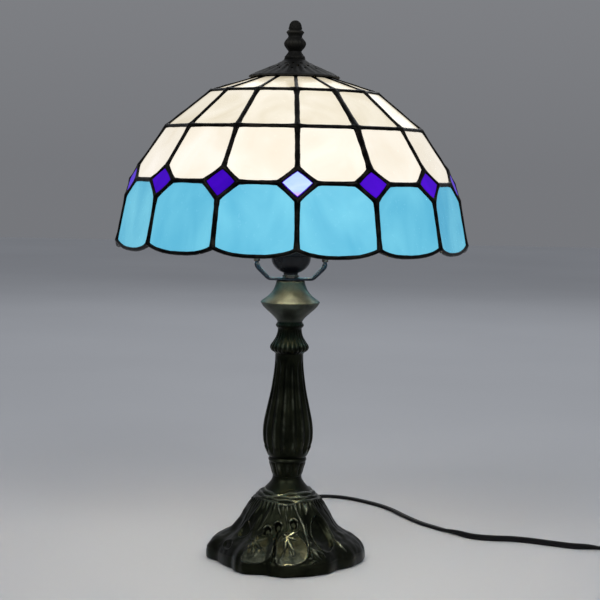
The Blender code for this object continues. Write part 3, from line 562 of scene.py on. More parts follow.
SCALLOP_DROP, SCALLOP_POWER, SCALLOP_PARTS = 6.0, 2.6, 12
GLASS_HALF = 1.0
GROOVE_DEPTH, PANE_SET_IN = 1.0, 0.75
LEAD_WIDTHS = {  # half widths
    "seam": 2.0, "top_seam": 1.45, "ring": 1.75, "jewel": 1.75, "rim": 1.6, "aperture": 1.9,
}
LEAD_HEIGHT = 1.25
LEAD_STEP = 3.2
LEAD_LAYERS = (0.0, 0.38, 0.68, 0.90, 1.0)
THICK_SEAM_BEARING, THICK_SEAM_GAIN = -64.3, 1.35  # one seam at the front right is wider


def corner(ring, seam):
    radius, height = ring
    angle = math.tau * seam / PANELS + FRONT
    return Vector((radius * math.cos(angle), radius * math.sin(angle), height))


def towards(start, end, distance):
    return start + (end - start).normalized() * distance


def jewel_corners(seam):
    """Left, bottom, right and top of the diamond on a seam, as seen from outside."""
    middle = corner(ROW_3_FOOT, seam)
    return (
        towards(middle, corner(ROW_3_FOOT, seam - 1), JEWEL_HALF_WIDTH),
        towards(middle, corner(RIM, seam), JEWEL_HALF_HEIGHT),
        towards(middle, corner(ROW_3_FOOT, seam + 1), JEWEL_HALF_WIDTH),
        towards(middle, corner(ROW_2_FOOT, seam), JEWEL_HALF_HEIGHT),
    )


def plain_panel(upper, lower, seam, top_edge="ring", side="seam"):
    return [(corner(lower, seam), "ring"), (corner(lower, seam + 1), side),
            (corner(upper, seam + 1), top_edge), (corner(upper, seam), side)]


def middle_panel(seam):
    _, _, right_of_left, top_of_left = jewel_corners(seam)
    left_of_right, _, _, top_of_right = jewel_corners(seam + 1)
    return [(right_of_left, "ring"), (left_of_right, "jewel"), (top_of_right, "seam"),
            (corner(ROW_2_FOOT, seam + 1), "ring"), (corner(ROW_2_FOOT, seam), "seam"),
            (top_of_left, "jewel")]


def bottom_panel(seam):
    _, bottom_of_left, right_of_left, _ = jewel_corners(seam)
    left_of_right, bottom_of_right, _, _ = jewel_corners(seam + 1)
    left, right = corner(RIM, seam), corner(RIM, seam + 1)
    upper_middle = (corner(ROW_3_FOOT, seam) + corner(ROW_3_FOOT, seam + 1)) / 2
    down = ((left + right) / 2 - upper_middle).normalized()
    scallop = []
    for k in range(1, SCALLOP_PARTS):
        t = 0.5 - 0.5 * math.cos(math.pi * k / SCALLOP_PARTS)
        hang = SCALLOP_DROP * (1 - abs(2 * t - 1) ** SCALLOP_POWER)
        scallop.append((left.lerp(right, t) + down * hang, "rim"))
    return [(bottom_of_left, "seam"), (left, "rim"), *scallop, (right, "seam"),
            (bottom_of_right, "jewel"), (left_of_right, "ring"), (right_of_left, "jewel")]


def newell(points):
    total = Vector()
    for p, q in zip(points, points[1:] + points[:1]):
        total += p.cross(q)
    return total.normalized()


def key(point):
    return tuple(round(c, 2) for c in point)


def in_from(before, after, d_before, d_after):
    """The step from a corner to where two inset edges meet, from the edges' inward directions."""
    share = before.dot(after)
    if share > 0.9995:
        return (before * d_before + after * d_after) / 2
    a = (d_before - d_after * share) / (1 - share * share)
    b = (d_after - d_before * share) / (1 - share * share)
    return before * a + after * b


def lead_width(start, kind):
    """The half width of the lead along a panel's edge that starts at a corner."""
    off = abs(math.degrees(math.atan2(start.y, start.x)) - THICK_SEAM_BEARING)
    thick = kind == "seam" and off < 3 and ROW_3_FOOT[1] < start.z < ROW_1_FOOT[1] + 1
    return LEAD_WIDTHS[kind] * (THICK_SEAM_GAIN if thick else 1.0)


class LeadWork:
    """The solder network: every panel adds the leads along its own edges."""

    def __init__(self):
        self.points, self.faces = [], []
        self.shared = {}
        self.normals = {}
        self.outward = {}
        self.corners = []

    def survey(self, panels):
        """Finds, for every point on the leads' middle lines, the shade's normal there."""
        for panel, _ in panels:
            normal = newell([p for p, _ in panel])
            for samples in self.samples(panel):
                for point in samples:
                    self.normals.setdefault(key(point), Vector())
                    self.normals[key(point)] += normal
            for (p, kind), (q, _) in zip(panel, panel[1:] + panel[:1]):
                if kind != "rim":
                    self.corners.append(p)
                if kind in ("rim", "aperture"):
                    out = -normal.cross(q - p).normalized()
                    for point in (p, q):
                        self.outward.setdefault(key(point), Vector())
                        self.outward[key(point)] += out
                    for step in self.edge_samples(p, q)[1:-1]:
                        self.outward[key(step)] = out

    @staticmethod
    def edge_samples(p, q):
        count = max(1, round((q - p).length / LEAD_STEP))
        return [p.lerp(q, k / count) for k in range(count + 1)]

    def samples(self, panel):
        """Each edge's points without its last, which starts the next edge."""
        return [self.edge_samples(p, q)[:-1]
                for (p, _), (q, _) in zip(panel, panel[1:] + panel[:1])]

    def lumps(self, point):
        """How far the solder's width and height stray here from their plain values."""
        near = min((point - c).length for c in self.near(point))
        blob = math.exp(-((near / 3.6) ** 2))
        wander = noise.noise(point * 0.11) * 0.16 + noise.noise(point * 0.37) * 0.08
        swell = noise.noise(point * 0.16 + Vector((40.0, 0.0, 0.0))) * 0.22
        return 1.0 + wander + 0.22 * blob, 1.0 + swell + 0.38 * blob

    def near(self, point):
        found = [c for c in self.corners if abs(c.z - point.z) < 14 and (c - point).length < 14]
        return found or [point + Vector((99.0, 0.0, 0.0))]

    def middle(self, point, side, height):
        """The shared ridge point of the leads on the outer (1) or inner (-1) face."""
        at = (*key(point), side)
        if at not in self.shared:
            normal = self.normals[key(point)].normalized()
            self.shared[at] = len(self.points)
            self.points.append(point + normal * side * (GLASS_HALF + LEAD_HEIGHT * height))
        return self.shared[at]

    def add_panel(self, panel, widths):
        """Adds a panel's leads, and returns the outline that its glass has in their grooves."""
        normal = newell([p for p, _ in panel])
        inward = [normal.cross(q - p).normalized()
                  for (p, _), (q, _) in zip(panel, panel[1:] + panel[:1])]
        count = len(panel)
        steps_in = [in_from(inward[i - 1], inward[i], widths[i - 1], widths[i])
                    for i in range(count)]
        columns, pane = [], []
        for i in range(count):
            p, q = panel[i][0], panel[(i + 1) % count][0]
            samples = self.edge_samples(p, q)[:-1]
            for k, point in enumerate(samples):
                t = k / len(samples)
                step = steps_in[i].lerp(steps_in[(i + 1) % count], t)
                wide, tall = self.lumps(point)
                step = step * wide
                width = widths[i]
                columns.append(self.column(point, step, tall, normal, width))
                pane.append(point + step * (1 - PANE_SET_IN / width))
        for one, two in zip(columns, columns[1:] + columns[:1]):
            for a in range(len(one) - 1):
                self.faces.append((one[a], two[a], two[a + 1], one[a + 1]))
        return pane, normal

    def column(self, point, step, tall, normal, width):
        ridge = self.normals[key(point)].normalized()
        column = [self.middle(point, 1, tall)]
        levels = []
        for share in LEAD_LAYERS[1:]:
            up = ridge.lerp(normal, share).normalized()
            rise = GLASS_HALF + LEAD_HEIGHT * tall * math.sqrt(1 - share * share)
            levels.append((point + step * share, up * rise))
        back = point + step * (1 - GROOVE_DEPTH / width)
        for at, up in levels:
            column.append(self.new(at + up))
        column.append(self.new(back + normal * (GLASS_HALF + 0.02)))
        column.append(self.new(back - normal * (GLASS_HALF + 0.02)))
        for at, up in reversed(levels):
            column.append(self.new(at - up))
        column.append(self.middle(point, -1, tall))
        return column

    def new(self, point):
        self.points.append(point)
        return len(self.points) - 1

    def close_edges(self, panels):
        """Rounds the free edges at the rim and at the aperture."""
        made = {}
        for panel, _ in panels:
            for (p, kind), (q, _) in zip(panel, panel[1:] + panel[:1]):
                if kind not in ("rim", "aperture"):
                    continue
                samples = self.edge_samples(p, q)
                arcs = [made.setdefault(key(s), None) or self.arc(made, s) for s in samples]
                for one, two in zip(arcs, arcs[1:]):
                    for a in range(len(one) - 1):
                        self.faces.append((one[a], one[a + 1], two[a + 1], two[a]))

    def arc(self, made, point):
        _, tall = self.lumps(point)
        normal = self.normals[key(point)].normalized()
        out = self.outward[key(point)].normalized()
        reach = GLASS_HALF + LEAD_HEIGHT * tall
        arc = [self.middle(point, 1, tall)]
        for degrees in (50, 18, -18, -50):
            angle = math.radians(degrees)
            arc.append(self.new(point + out * 1.5 * math.cos(angle)
                                + normal * reach * math.sin(angle)))
        arc.append(self.middle(point, -1, tall))
        made[key(point)] = arc
        return arc


def flat_pane(name, edge, normal, material, stands_for, raised=0.0):
    """A sheet of glass between its edge's two faces. raised gives it a bevelled outer face."""
    count = len(edge)
    thin = GLASS_HALF - 0.05
    points = [p + normal * thin for p in edge] + [p - normal * thin for p in edge]
    faces = [tuple(range(count, 2 * count))[::-1]]
    for k in range(count):
        m = (k + 1) % count
        faces.append((k, k + count, m + count, m))
    if raised:
        middle = sum(edge, Vector()) / count
        points += [p.lerp(middle, 0.14) + normal * (thin + raised) for p in edge]
        for k in range(count):
            m = (k + 1) % count
            faces.append((k, m, m + 2 * count, k + 2 * count))
        faces.append(tuple(range(2 * count, 3 * count)))
    else:
        faces.append(tuple(range(count)))
    pane = piece(name, (points, faces), material, "shade", stands_for, sharp=12)
    # The bulb's painted glow goes on the lit jewel's middle faces; its bevels keep the plain violet
    # glass.
    if material == "lit_jewel":  # the bulb shows through its middle only
        pane.data.materials.append(MATERIALS["violet"][1])
        for face in pane.data.polygons[count + 1 : 2 * count + 1]:
            face.material_index = 1
    return pane


def make_shade():
    panels = []
    for s in range(PANELS):
        n = f"{s + 1:02d}"
        panels += [
            (plain_panel(APERTURE, ROW_1_FOOT, s, "aperture", "top_seam"),
             (f"top_pane_{n}", "cream", "glass_row_top")),
            (plain_panel(ROW_1_FOOT, ROW_2_FOOT, s),
             (f"upper_pane_{n}", "upper", "glass_row_upper")),
            (middle_panel(s), (f"middle_pane_{n}", "white", "glass_row_middle")),
            (bottom_panel(s), (f"scallop_pane_{n}", "blue", f"blue_pane_{n}")),
            ([(p, "jewel") for p in jewel_corners(s)],
             (f"diamond_{n}", "lit_jewel" if s == 0 else "violet", f"jewel_{n}")),
        ]
    leads = LeadWork()
    leads.survey(panels)
    for panel, (name, material, node) in panels:
        edge, normal = leads.add_panel(panel, [lead_width(*side) for side in panel])
        flat_pane(name, edge, normal, material, [node], 0.9 if "diamond" in name else 0.0)
    leads.close_edges(panels)
    piece("solder_lines", (leads.points, leads.faces), "solder", "shade", ["lead_lattice"],
          sharp=70)


# ---- cap, finial and shade rest ----


def make_cap():
    foot, rim = low("vented_cap").z, radius_of("vented_cap")
    line = outline(
        0.8,
        [(3.5, 15.4), (9.4, 15.4)],
        [(10.8, 14.3), (13.6, 12.7), (18.0, 10.6), (26.0, 7.0), (33.0, 4.1),
         (36.6, 2.4), (38.6, 1.2), (rim, 0.4), (38.6, 0.0)],
        [(36.2, 1.1), (26.0, 4.8), (18.0, 7.8), (12.6, 10.5), (9.0, 13.0)],
        [(3.5, 13.6)],
    )

    outside = line[: int(np.argmax(line[:, 0])) + 1].T

    def ribs(angle, r, z):
        out = plateau(r, 17.0, 24.0, 33.0, 37.0)
        lip = smoothstep(r, 35.0, 38.6) * 0.35
        z = z + out * 0.30 * np.cos(28 * angle) - lip * np.abs(np.sin(14 * angle)) + lip
        return r, z + foot

    def wear(p):
        r = math.hypot(p[0], p[1])
        bare = float(p[2] - foot < np.interp(r, *outside) - 1.4 and r < 30)
        return 0.2 * smoothstep(r, 37.8, 39.2) + 3.0 * bare

    cap = turned("pierced_cap", line, 168, "cap", "cap", ["vented_cap"], closed=True,
                 shape=ribs, wear=wear)
    holes = []
    for k in range(PANELS):
        for radius, height, half_a, half_b, turn, lean in (
            (14.6, 10.6, 1.05, 1.7, 0.25, 32), (19.2, 8.3, 1.3, 2.1, 0.75, 25),
            (24.4, 6.3, 1.0, 1.6, 0.25, 20),
        ):
            spin = Matrix.Rotation(math.tau * (k + turn) / PANELS, 4, "Z")
            place = Matrix.Translation((radius, 0.0, foot + height))
            tilt = Matrix.Rotation(math.radians(lean), 4, "Y")
            holes.append(moved(rod(half_b, 7.0, 14, half_a), spin @ place @ tilt))
    cut(cap, holes)


def make_finial():
    foot = low("finial").z
    line = outline(
        0.55,
        [(0.0, 31.6), (1.8, 31.4), (3.5, 30.3), (4.8, 28.0), (5.5, 25.6), (5.6, 24.4), (5.5, 23.6)],
        [(6.3, 22.9), (7.2, 22.0), (7.5, 21.3), (7.2, 20.6), (6.5, 19.4), (5.9, 18.1),
         (6.3, 16.8), (7.8, 15.0), (9.0, 12.8),
         (9.1, 10.9), (8.2, 8.6), (6.5, 6.4), (5.6, 5.2)],
        [(6.1, 4.0), (7.3, 2.0), (8.4, 0.9), (8.6, 0.0)],
        [(3.5, 0.0)],
        [(3.5, 14.9)],
        [(0.0, 16.7)],
    )

    def scales(angle, r, z):
        """Rows of overlapping bracts on the acorn, and gadroons round the ball and the skirt."""
        top = plateau(z, 23.6, 24.6, 29.0, 30.6) * smoothstep(r, 3.2, 3.6)
        ball = hill(z, 11.8, 3.4) * smoothstep(r, 6.6, 7.6)
        skirt = (1 - smoothstep(z, 2.6, 4.4)) * smoothstep(r, 5.0, 6.0)
        collar = hill(z, 21.5, 0.9) * smoothstep(r, 6.2, 7.0)
        r = r + top * 0.22 * np.cos(12 * angle + np.pi * np.floor((z - 23.6) / 1.8))
        r = r + ball * 0.28 * np.cos(18 * angle) + skirt * 0.22 * np.cos(16 * angle)
        r = r + collar * 0.18 * np.cos(20 * angle)
        return r, z

    def wear(p):
        z = p[2] - foot
        return sum(rub * hill(z, level, spread) for rub, level, spread in (
            (0.35, 21.5, 0.9), (0.22, 12.0, 2.6), (0.2, 0.6, 0.8)))

    turned("acorn_finial", line, 120, "cap", "finial", ["finial"], shape=scales,
           at=(0.0, 0.0, foot), wear=wear)
    foot_w, top_w = low("finial_washer").z, high("finial_washer").z - low("finial_washer").z
    line = closed_outline(0.5, [(3.5, top_w), (8.7, top_w)],
                   [(9.1, top_w - 0.3), (9.15, 0.4), (9.0, 0.0)],
                   [(3.5, 0.0)])
    turned("finial_seat_washer", line, 64, "cap", "finial_washer", ["finial_washer"],
           closed=True, at=(0.0, 0.0, foot_w), wear=lambda p: 0.1)


def make_shade_rest():
    foot = low("shade_rest_disc").z
    line = closed_outline(
        1.0,
        [(3.5, 4.3), (7.0, 4.3)],
        [(7.8, 3.4), (9.2, 2.1)],
        [(26.4, 2.1)],
        [(27.2, 4.2)], [(28.6, 4.2)], [(28.7, 2.1)], [(33.2, 1.5)],
        [(33.5, 0.7), (33.2, 0.0)],
        [(3.5, 0.0)],
    )
    disc = turned("shade_rest_wheel", line, 96, "brass", "rest_disc", ["shade_rest_disc"],
                  closed=True, at=(0.0, 0.0, foot))
    holes = []
    for k in range(6):
        spin = Matrix.Rotation(math.tau * k / 6, 4, "Z")
        holes.append(moved(rod(5.6, 14.0, 32), spin @ Matrix.Translation((17.6, 0.0, foot))))
    cut(disc, holes)


# ---- harp, saddle, socket and bulb ----

HARP_LEG = 29.5  # from the lamp's axis to the middle of each leg
SCREW_PITCH, SCREW_DEPTH, SCREW_STEPS = 3.63, 0.35, 8  # the bulb's thread


def make_harp():
    foot, stud_top = low("harp").z, high("harp").z
    bow = through(
        [(x, 0.0, foot + z) for x, z in (
            (HARP_LEG, 19.7), (33.6, 33.7), (41.5, 52.7), (45.0, 73.7), (42.6, 95.7),
            (34.6, 117.7), (22.5, 133.7), (9.0, 141.3))], 2.5)
    right = through([(HARP_LEG, 0.0, foot), (HARP_LEG, 0.0, foot + 19.7)], 4.0)[:-1] + bow
    left = [p * (-1, 1, 1) for p in reversed(right)]
    bridge = through([right[-1], left[0]], 3.0)[1:-1]
    wire = sweep(right + bridge + left, ellipse(1.6, 1.6, 18), up=(0.0, 1.0, 0.0))
    piece("harp_bail", loft(wire), "harp", "harp", ["harp"])
    pitch, stud_foot = 25.4 / 27, foot + 144.7
    thread = [(0.0, stud_top), (2.3, stud_top)]
    turns = int((stud_top - stud_foot - 1.0) / pitch)
    for k in range(turns):
        z = stud_top - 0.5 - k * pitch
        thread += [(3.15, z), (2.75, z - pitch / 2)]
    thread += [(3.1, stud_foot - 0.4), (8.4, stud_foot - 0.4), (9.0, stud_foot - 0.9),
               (9.0, foot + 142.3), (8.4, foot + 141.5), (0.0, foot + 141.5)]
    turned("harp_stud", np.array(thread), 40, "harp", "harp", sharp=25)


def make_ferrules():
    for side, word in ((-1, "left"), (1, "right")):
        foot = low(f"ferrule_{word}").z
        line = closed_outline(0.8, [(2.15, 16.0), (2.5, 16.0)], [(2.75, 15.7), (2.75, 15.2)],
                       [(2.75, 0.8)], [(2.75, 0.3), (2.5, 0.0)],
                       [(2.15, 0.0)])
        turned(f"harp_sleeve_{word}", line, 40, "harp", f"ferrule_{word}",
               [f"ferrule_{word}"], closed=True, at=(side * HARP_LEG, 0.0, foot))


def make_saddle():
    """A steel strip, flat under the socket, whose arms turn up into posts for the ferrules."""
    middle = low("harp_saddle").z + 1.2
    stations = through(
        [(0.0, 0.0, 8.0, 1.2), (8.0, 0.0, 7.6, 1.2), (14.0, 0.0, 5.4, 1.2), (17.6, 0.1, 4.2, 1.35),
         (19.8, 1.2, 3.9, 1.7), (22.4, 3.6, 3.6, 1.8), (25.2, 6.4, 3.2, 1.85),
         (27.6, 9.0, 2.8, 2.0), (29.0, 11.2, 2.3, 2.2), (HARP_LEG, 13.2, 2.0, 2.1),
         (HARP_LEG, 14.4, 1.6, 1.6), (HARP_LEG, 20.0, 1.5, 1.5)], 0.8)
    path = [p * (-1, 1, 1, 1) for p in reversed(stations[1:])] + stations
    centre = np.array([(p[0], 0.0, middle + p[1]) for p in path])
    forward = np.gradient(centre, axis=0)
    forward /= np.linalg.norm(forward, axis=1)[:, None]
    rings = []
    for c, t, station in zip(centre, forward, path):
        up = np.array((-t[2], 0.0, t[0]))
        rings.append([c + np.array((0.0, a, 0.0)) + up * b
                      for a, b in superellipse(station[2], station[3], 4.0, 28)])
    saddle = piece("saddle_strip", loft(rings), "saddle", "stand", ["harp_saddle"])
    cut(saddle, [moved(rod(5.3, 12.0, 48), Matrix.Translation((0.0, 0.0, middle)))])


def hex_shape(across_flats, foot, top, bore, chamfer=0.5):
    """A hexagonal nut with chamfered corners, closed round its bore."""
    sides = 72
    angle = np.arange(sides) * math.tau / sides
    outer = across_flats / 2 / np.cos(angle % (math.pi / 3) - math.pi / 6)
    inner = np.minimum(outer, across_flats / 2 + 0.2)
    rings = ((bore, top), (inner, top), (outer, top - chamfer), (outer, foot + chamfer),
             (inner, foot), (bore, foot))
    points = [p for radius, z in rings for p in ring_about(angle, radius, z)]
    return points, closed_skin(len(rings), sides)


def make_nuts():
    for name, node, material in (("locknut", "saddle_locknut", "harp"),
                                 ("base_nut", "bottom_nut", "zinc")):
        nut = hex_shape(high(node).x - low(node).x, low(node).z, high(node).z, 5.25)
        piece(name, nut, material, "stand", [node], sharp=25)


def screw_thread(radius, top, count):
    """A rounded thread's outline, downwards from a height."""
    return [(radius + SCREW_DEPTH * math.cos(math.tau * k / SCREW_STEPS),
             top - k * SCREW_PITCH / SCREW_STEPS) for k in range(count)]


def make_socket():
    foot = low("socket_cap").z
    line = closed_outline(
        0.8,
        [(5.3, 2.5), (5.3, 0.0)], [(6.3, 0.0)], [(6.3, 1.5)],
        [(9.6, 2.9), (13.4, 5.9), (16.3, 10.3), (17.5, 16.3)],
        [(15.7, 16.3)],
        [(14.4, 10.9), (11.8, 7.3), (8.4, 4.7)],
    )[::-1]
    turned("socket_dome", line, 72, "phenolic", "stand", ["socket_cap"],
           closed=True, at=(0.0, 0.0, foot))
    foot = low("socket_body").z
    bands = []
    for z in (26.0, 23.6, 21.2, 18.8):
        bands += [[(17.5, z - 1.6)], [(17.0, z - 1.8)], [(17.0, z - 2.2)], [(17.5, z - 2.4)]]
    line = closed_outline(
        1.2,
        [(15.3, 29.7), (17.3, 29.7)],
        [(17.5, 29.3), (17.5, 26.0)],
        *bands,
        [(17.5, 0.0)], [(2.6, 0.0)], [(2.6, 2.7)], [(15.3, 2.7)],
    )
    turned("socket_barrel", line, 72, "phenolic", "stand", ["socket_body"],
           closed=True, at=(0.0, 0.0, foot))
    foot = low("socket_screw_shell").z
    height = high("socket_screw_shell").z - foot
    turns = int((height - 5.0) / SCREW_PITCH * SCREW_STEPS)
    outer = screw_thread(14.35, height - 1.5, turns)
    line = np.array([(13.7, height), (14.7, height)] + outer
                    + [(14.7, 0.0), (7.0, 0.0), (7.0, 0.9), (13.6, 0.9)]
                    + [(r - 0.75, z) for r, z in reversed(outer)])
    turned("screw_shell", line, 60, "aluminium", "stand", ["socket_screw_shell"],
           closed=True, at=(0.0, 0.0, foot), sharp=60)


def make_bulb():
    foot = low("bulb_base").z
    line = np.array([(0.0, 23.5), (12.7, 23.5), (13.0, 22.8), (13.0, 21.2)]
                    + screw_thread(12.75, 20.5, 28)
                    + [(12.6, 6.4), (11.9, 3.9), (9.4, 2.4), (8.0, 1.9), (4.6, 1.3), (4.2, 0.3),
                       (2.6, 0.0), (0.0, 0.0)])
    turned("bulb_screw_base", line, 60, "aluminium", "bulb", ["bulb_base"],
           at=(0.0, 0.0, foot), sharp=60)
    foot, top = low("bulb_glass").z, high("bulb_glass").z
    ball = radius_of("bulb_glass")
    centre = top - foot - ball
    arc = [(ball * math.cos(math.radians(a)), centre + ball * math.sin(math.radians(a)))
           for a in range(90, -46, -6)]
    neck = through([arc[-1], (14.4, 17.6), (12.6, 9.0), (12.4, 0.0)], 1.5)[1:]
    outside = [tuple(p) for p in arc] + [tuple(p) for p in neck]
    outside[0] = (0.0, top - foot)
    wall = 0.9
    inside = [(max(r - wall, 0.0), z - wall if z > centre + ball * 0.7 else z)
              for r, z in reversed(outside)]
    inside[-1] = (0.0, top - foot - wall)
    turned("bulb_envelope", np.array(outside + inside), 64, "bulb", "bulb",
           ["bulb_glass"], at=(0.0, 0.0, foot))


# ---- stand ----


ALONG_Y = Matrix.Rotation(math.pi / 2, 4, "X")
LOBE_START = -180.0
LOBES = ((0.0, 69.6), (18.0, 61.8), (40.0, 62.6), (52.0, 69.2), (58.5, 71.0), (73.0, 66.5),
         (79.5, 69.2), (87.0, 72.0), (100.5, 69.8), (119.0, 67.5), (135.0, 62.1), (155.0, 65.4),
         (173.0, 68.4), (180.0, 69.6))
LOBES_MEAN = 68.5


def lobe_share(angle):
    """The foot's outer radius against its mean. Its front and back halves have the same waves."""
    turn = (np.degrees(angle) - LOBE_START) % 180.0
    out = np.zeros_like(turn)
    for (start, before), (end, after) in zip(LOBES, LOBES[1:]):
        inside = (turn >= start) & (turn <= end)
        share = smoothstep(turn, start, end)
        out = np.where(inside, before + (after - before) * share, out)
    return out / LOBES_MEAN


def foot_waves(angle, level):
    """How far the foot's waves reach out at a level, which fade away up its slope."""
    return 1 + smoothstep(42.0 - level, 0.0, 22.0) * (lobe_share(angle) - 1)


def ridge(distance, half_width):
    """A rounded rib's height, 0 to 1, at a distance from its middle line."""
    return np.clip(1 - (distance / half_width) ** 2, 0.0, None) ** 0.8


class Relief:
    """Cast relief on one half of the foot: heights over angle and distance down the slope, mm.

    Places on it are (degrees, height above the table).
    """

    SCALE = (0.8, 1.0)  # a degree counts as 0.8 mm

    def __init__(self, angle, down, radius, level):
        self.angle, self.down, self.radius = angle, down, radius
        self.levels = level
        self.body = np.zeros_like(angle)
        self.ribs = np.zeros_like(angle)
        self.grooves = np.zeros_like(angle)
        # rub: rubbed wear on ribs and edges, together with the pads' painted sheen and the buds'
        # painted highlights.
        self.rub = np.zeros_like(angle)

    def spot(self, place):
        degrees, level = place
        return degrees, np.interp(-level, -self.levels[:, 1], self.levels[:, 0])

    def across(self, degrees):
        """How far to the right of a bearing each point lies."""
        turn = (self.angle - math.radians(degrees) + math.pi / 2) % math.pi - math.pi / 2
        return turn * self.radius

    def track(self, places, closed=False):
        """A smooth line through places, in fine steps."""
        spots = [np.array(self.spot(p)) * self.SCALE for p in places]
        if closed:
            spots = spots[-2:] + spots + spots[:3]
        line = np.array(through(spots, 1.3)) / self.SCALE
        if not closed:
            return line
        from_start = np.abs(line - np.array(self.spot(places[0]))).sum(axis=1)
        half = len(line) // 2
        return line[np.argmin(from_start[:half]) : half + np.argmin(from_start[half:])]

    def from_line(self, line, closed=False):
        """Each point's distance from a line, and how far along the line it is nearest."""
        best = np.full_like(self.angle, 1e3)
        where = np.zeros_like(self.angle)
        ends = list(zip(line, np.roll(line, -1, axis=0) if closed else line[1:]))
        for i, (a, b) in enumerate(ends):
            du, dv = self.across(a[0]), self.down - a[1]
            su, sv = math.radians(b[0] - a[0]) * self.radius, b[1] - a[1]
            t = np.clip((du * su + dv * sv) / (su * su + sv * sv + 1e-9), 0.0, 1.0)
            distance = np.hypot(du - t * su, dv - t * sv)
            nearer = distance < best
            best = np.where(nearer, distance, best)
            where = np.where(nearer, (i + t) / len(ends), where)
        return best, where

    def stroke(self, places, width, height, rub=0.5, start=0.4, end=0.2, carve=False):
        """A tapering rib or groove. start and end are shares of the width in its middle."""
        distance, along = self.from_line(self.track(places))
        taper = np.where(along < 0.35, start + (1 - start) * smoothstep(along, 0.0, 0.35),
                         end + (1 - end) * (1 - smoothstep(along, 0.45, 1.0)))
        rib = ridge(distance, width * taper + 0.05) * (0.35 + 0.65 * taper)
        if carve:
            self.grooves = np.maximum(self.grooves, height * rib)
        else:
            self.ribs = np.maximum(self.ribs, height * rib)
            self.rub = np.maximum(self.rub, rub * rib**2)

    def inside(self, line):
        """How deep inside a closed line each point lies, negative outside it."""
        distance, _ = self.from_line(line, closed=True)
        winding = np.zeros(self.angle.shape, dtype=int)
        for a, b in zip(line, np.roll(line, -1, axis=0)):
            side_a, side_b = self.across(a[0]), self.across(b[0])
            crosses = (side_a > 0) != (side_b > 0)
            near = np.abs(side_a) + np.abs(side_b) < self.radius
            t = side_a / np.where(side_a == side_b, 1.0, side_a - side_b)
            level = a[1] + t * (b[1] - a[1])
            winding += (crosses & near & (level > self.down)).astype(int)
        return np.where(winding % 2 == 1, distance, -distance)

    def pad(self, places, thick, lip, rub, sheen):
        """A leaf that lies on the foot, dished and with a rolled edge. Its rubbed edge and a
        painted sheen over its face both grow towards the leaf's lower part, as painted reflection.
        """
        deep = self.inside(self.track(places, closed=True))
        self.body += smoothstep(deep, -0.35, 0.9) * thick * (1 - 0.5 * smoothstep(deep, 0.5, 7.0))
        edge = hill(deep, 0.8, 0.7)
        # tip: painted reflection, lighter towards the leaf's lower part.
        tip = 1 - smoothstep(np.interp(self.down, *self.levels.T), 13.0, 26.0)
        self.body += lip * edge * (0.3 + 0.7 * tip)
        self.rub = np.maximum(self.rub, rub * edge * tip)
        self.rub = np.maximum(self.rub, sheen * tip * smoothstep(deep, 0.0, 2.0))

    def hollow(self, places, depth, lip):
        deep = self.inside(self.track(places, closed=True))
        self.body += lip * hill(deep, -0.1, 0.8) - depth * smoothstep(deep, 0.0, 3.0)

    def bud(self, place, size):
        """A small closed flower: a brow over a dark hollow mouth, with a painted highlight along
        the brow's upper side.
        """
        degrees, down = self.spot(place)
        u, v = self.across(degrees) / size, (self.down - down) / size
        mouth = smoothstep(1.0 - np.hypot(u / 0.86, (v - 0.45) / 1.25), 0.0, 0.45)
        brow = ridge(np.hypot(u, v * 0.9) - 0.90, 0.26) * smoothstep(-v, -0.2, 0.35)
        cheek = ridge(np.hypot(u, v * 0.7) - 0.95, 0.28) * 0.5 * (v < 1.2)
        self.ribs = np.maximum(self.ribs, np.maximum(1.5 * brow, cheek))
        self.grooves = np.maximum(self.grooves, 2.2 * mouth)
        # Painted highlight on the brow's upper side; the mouth keeps the dark patina.
        self.rub = np.maximum(self.rub * (1 - mouth), brow**2 * smoothstep(-v, 0.1, 0.7))


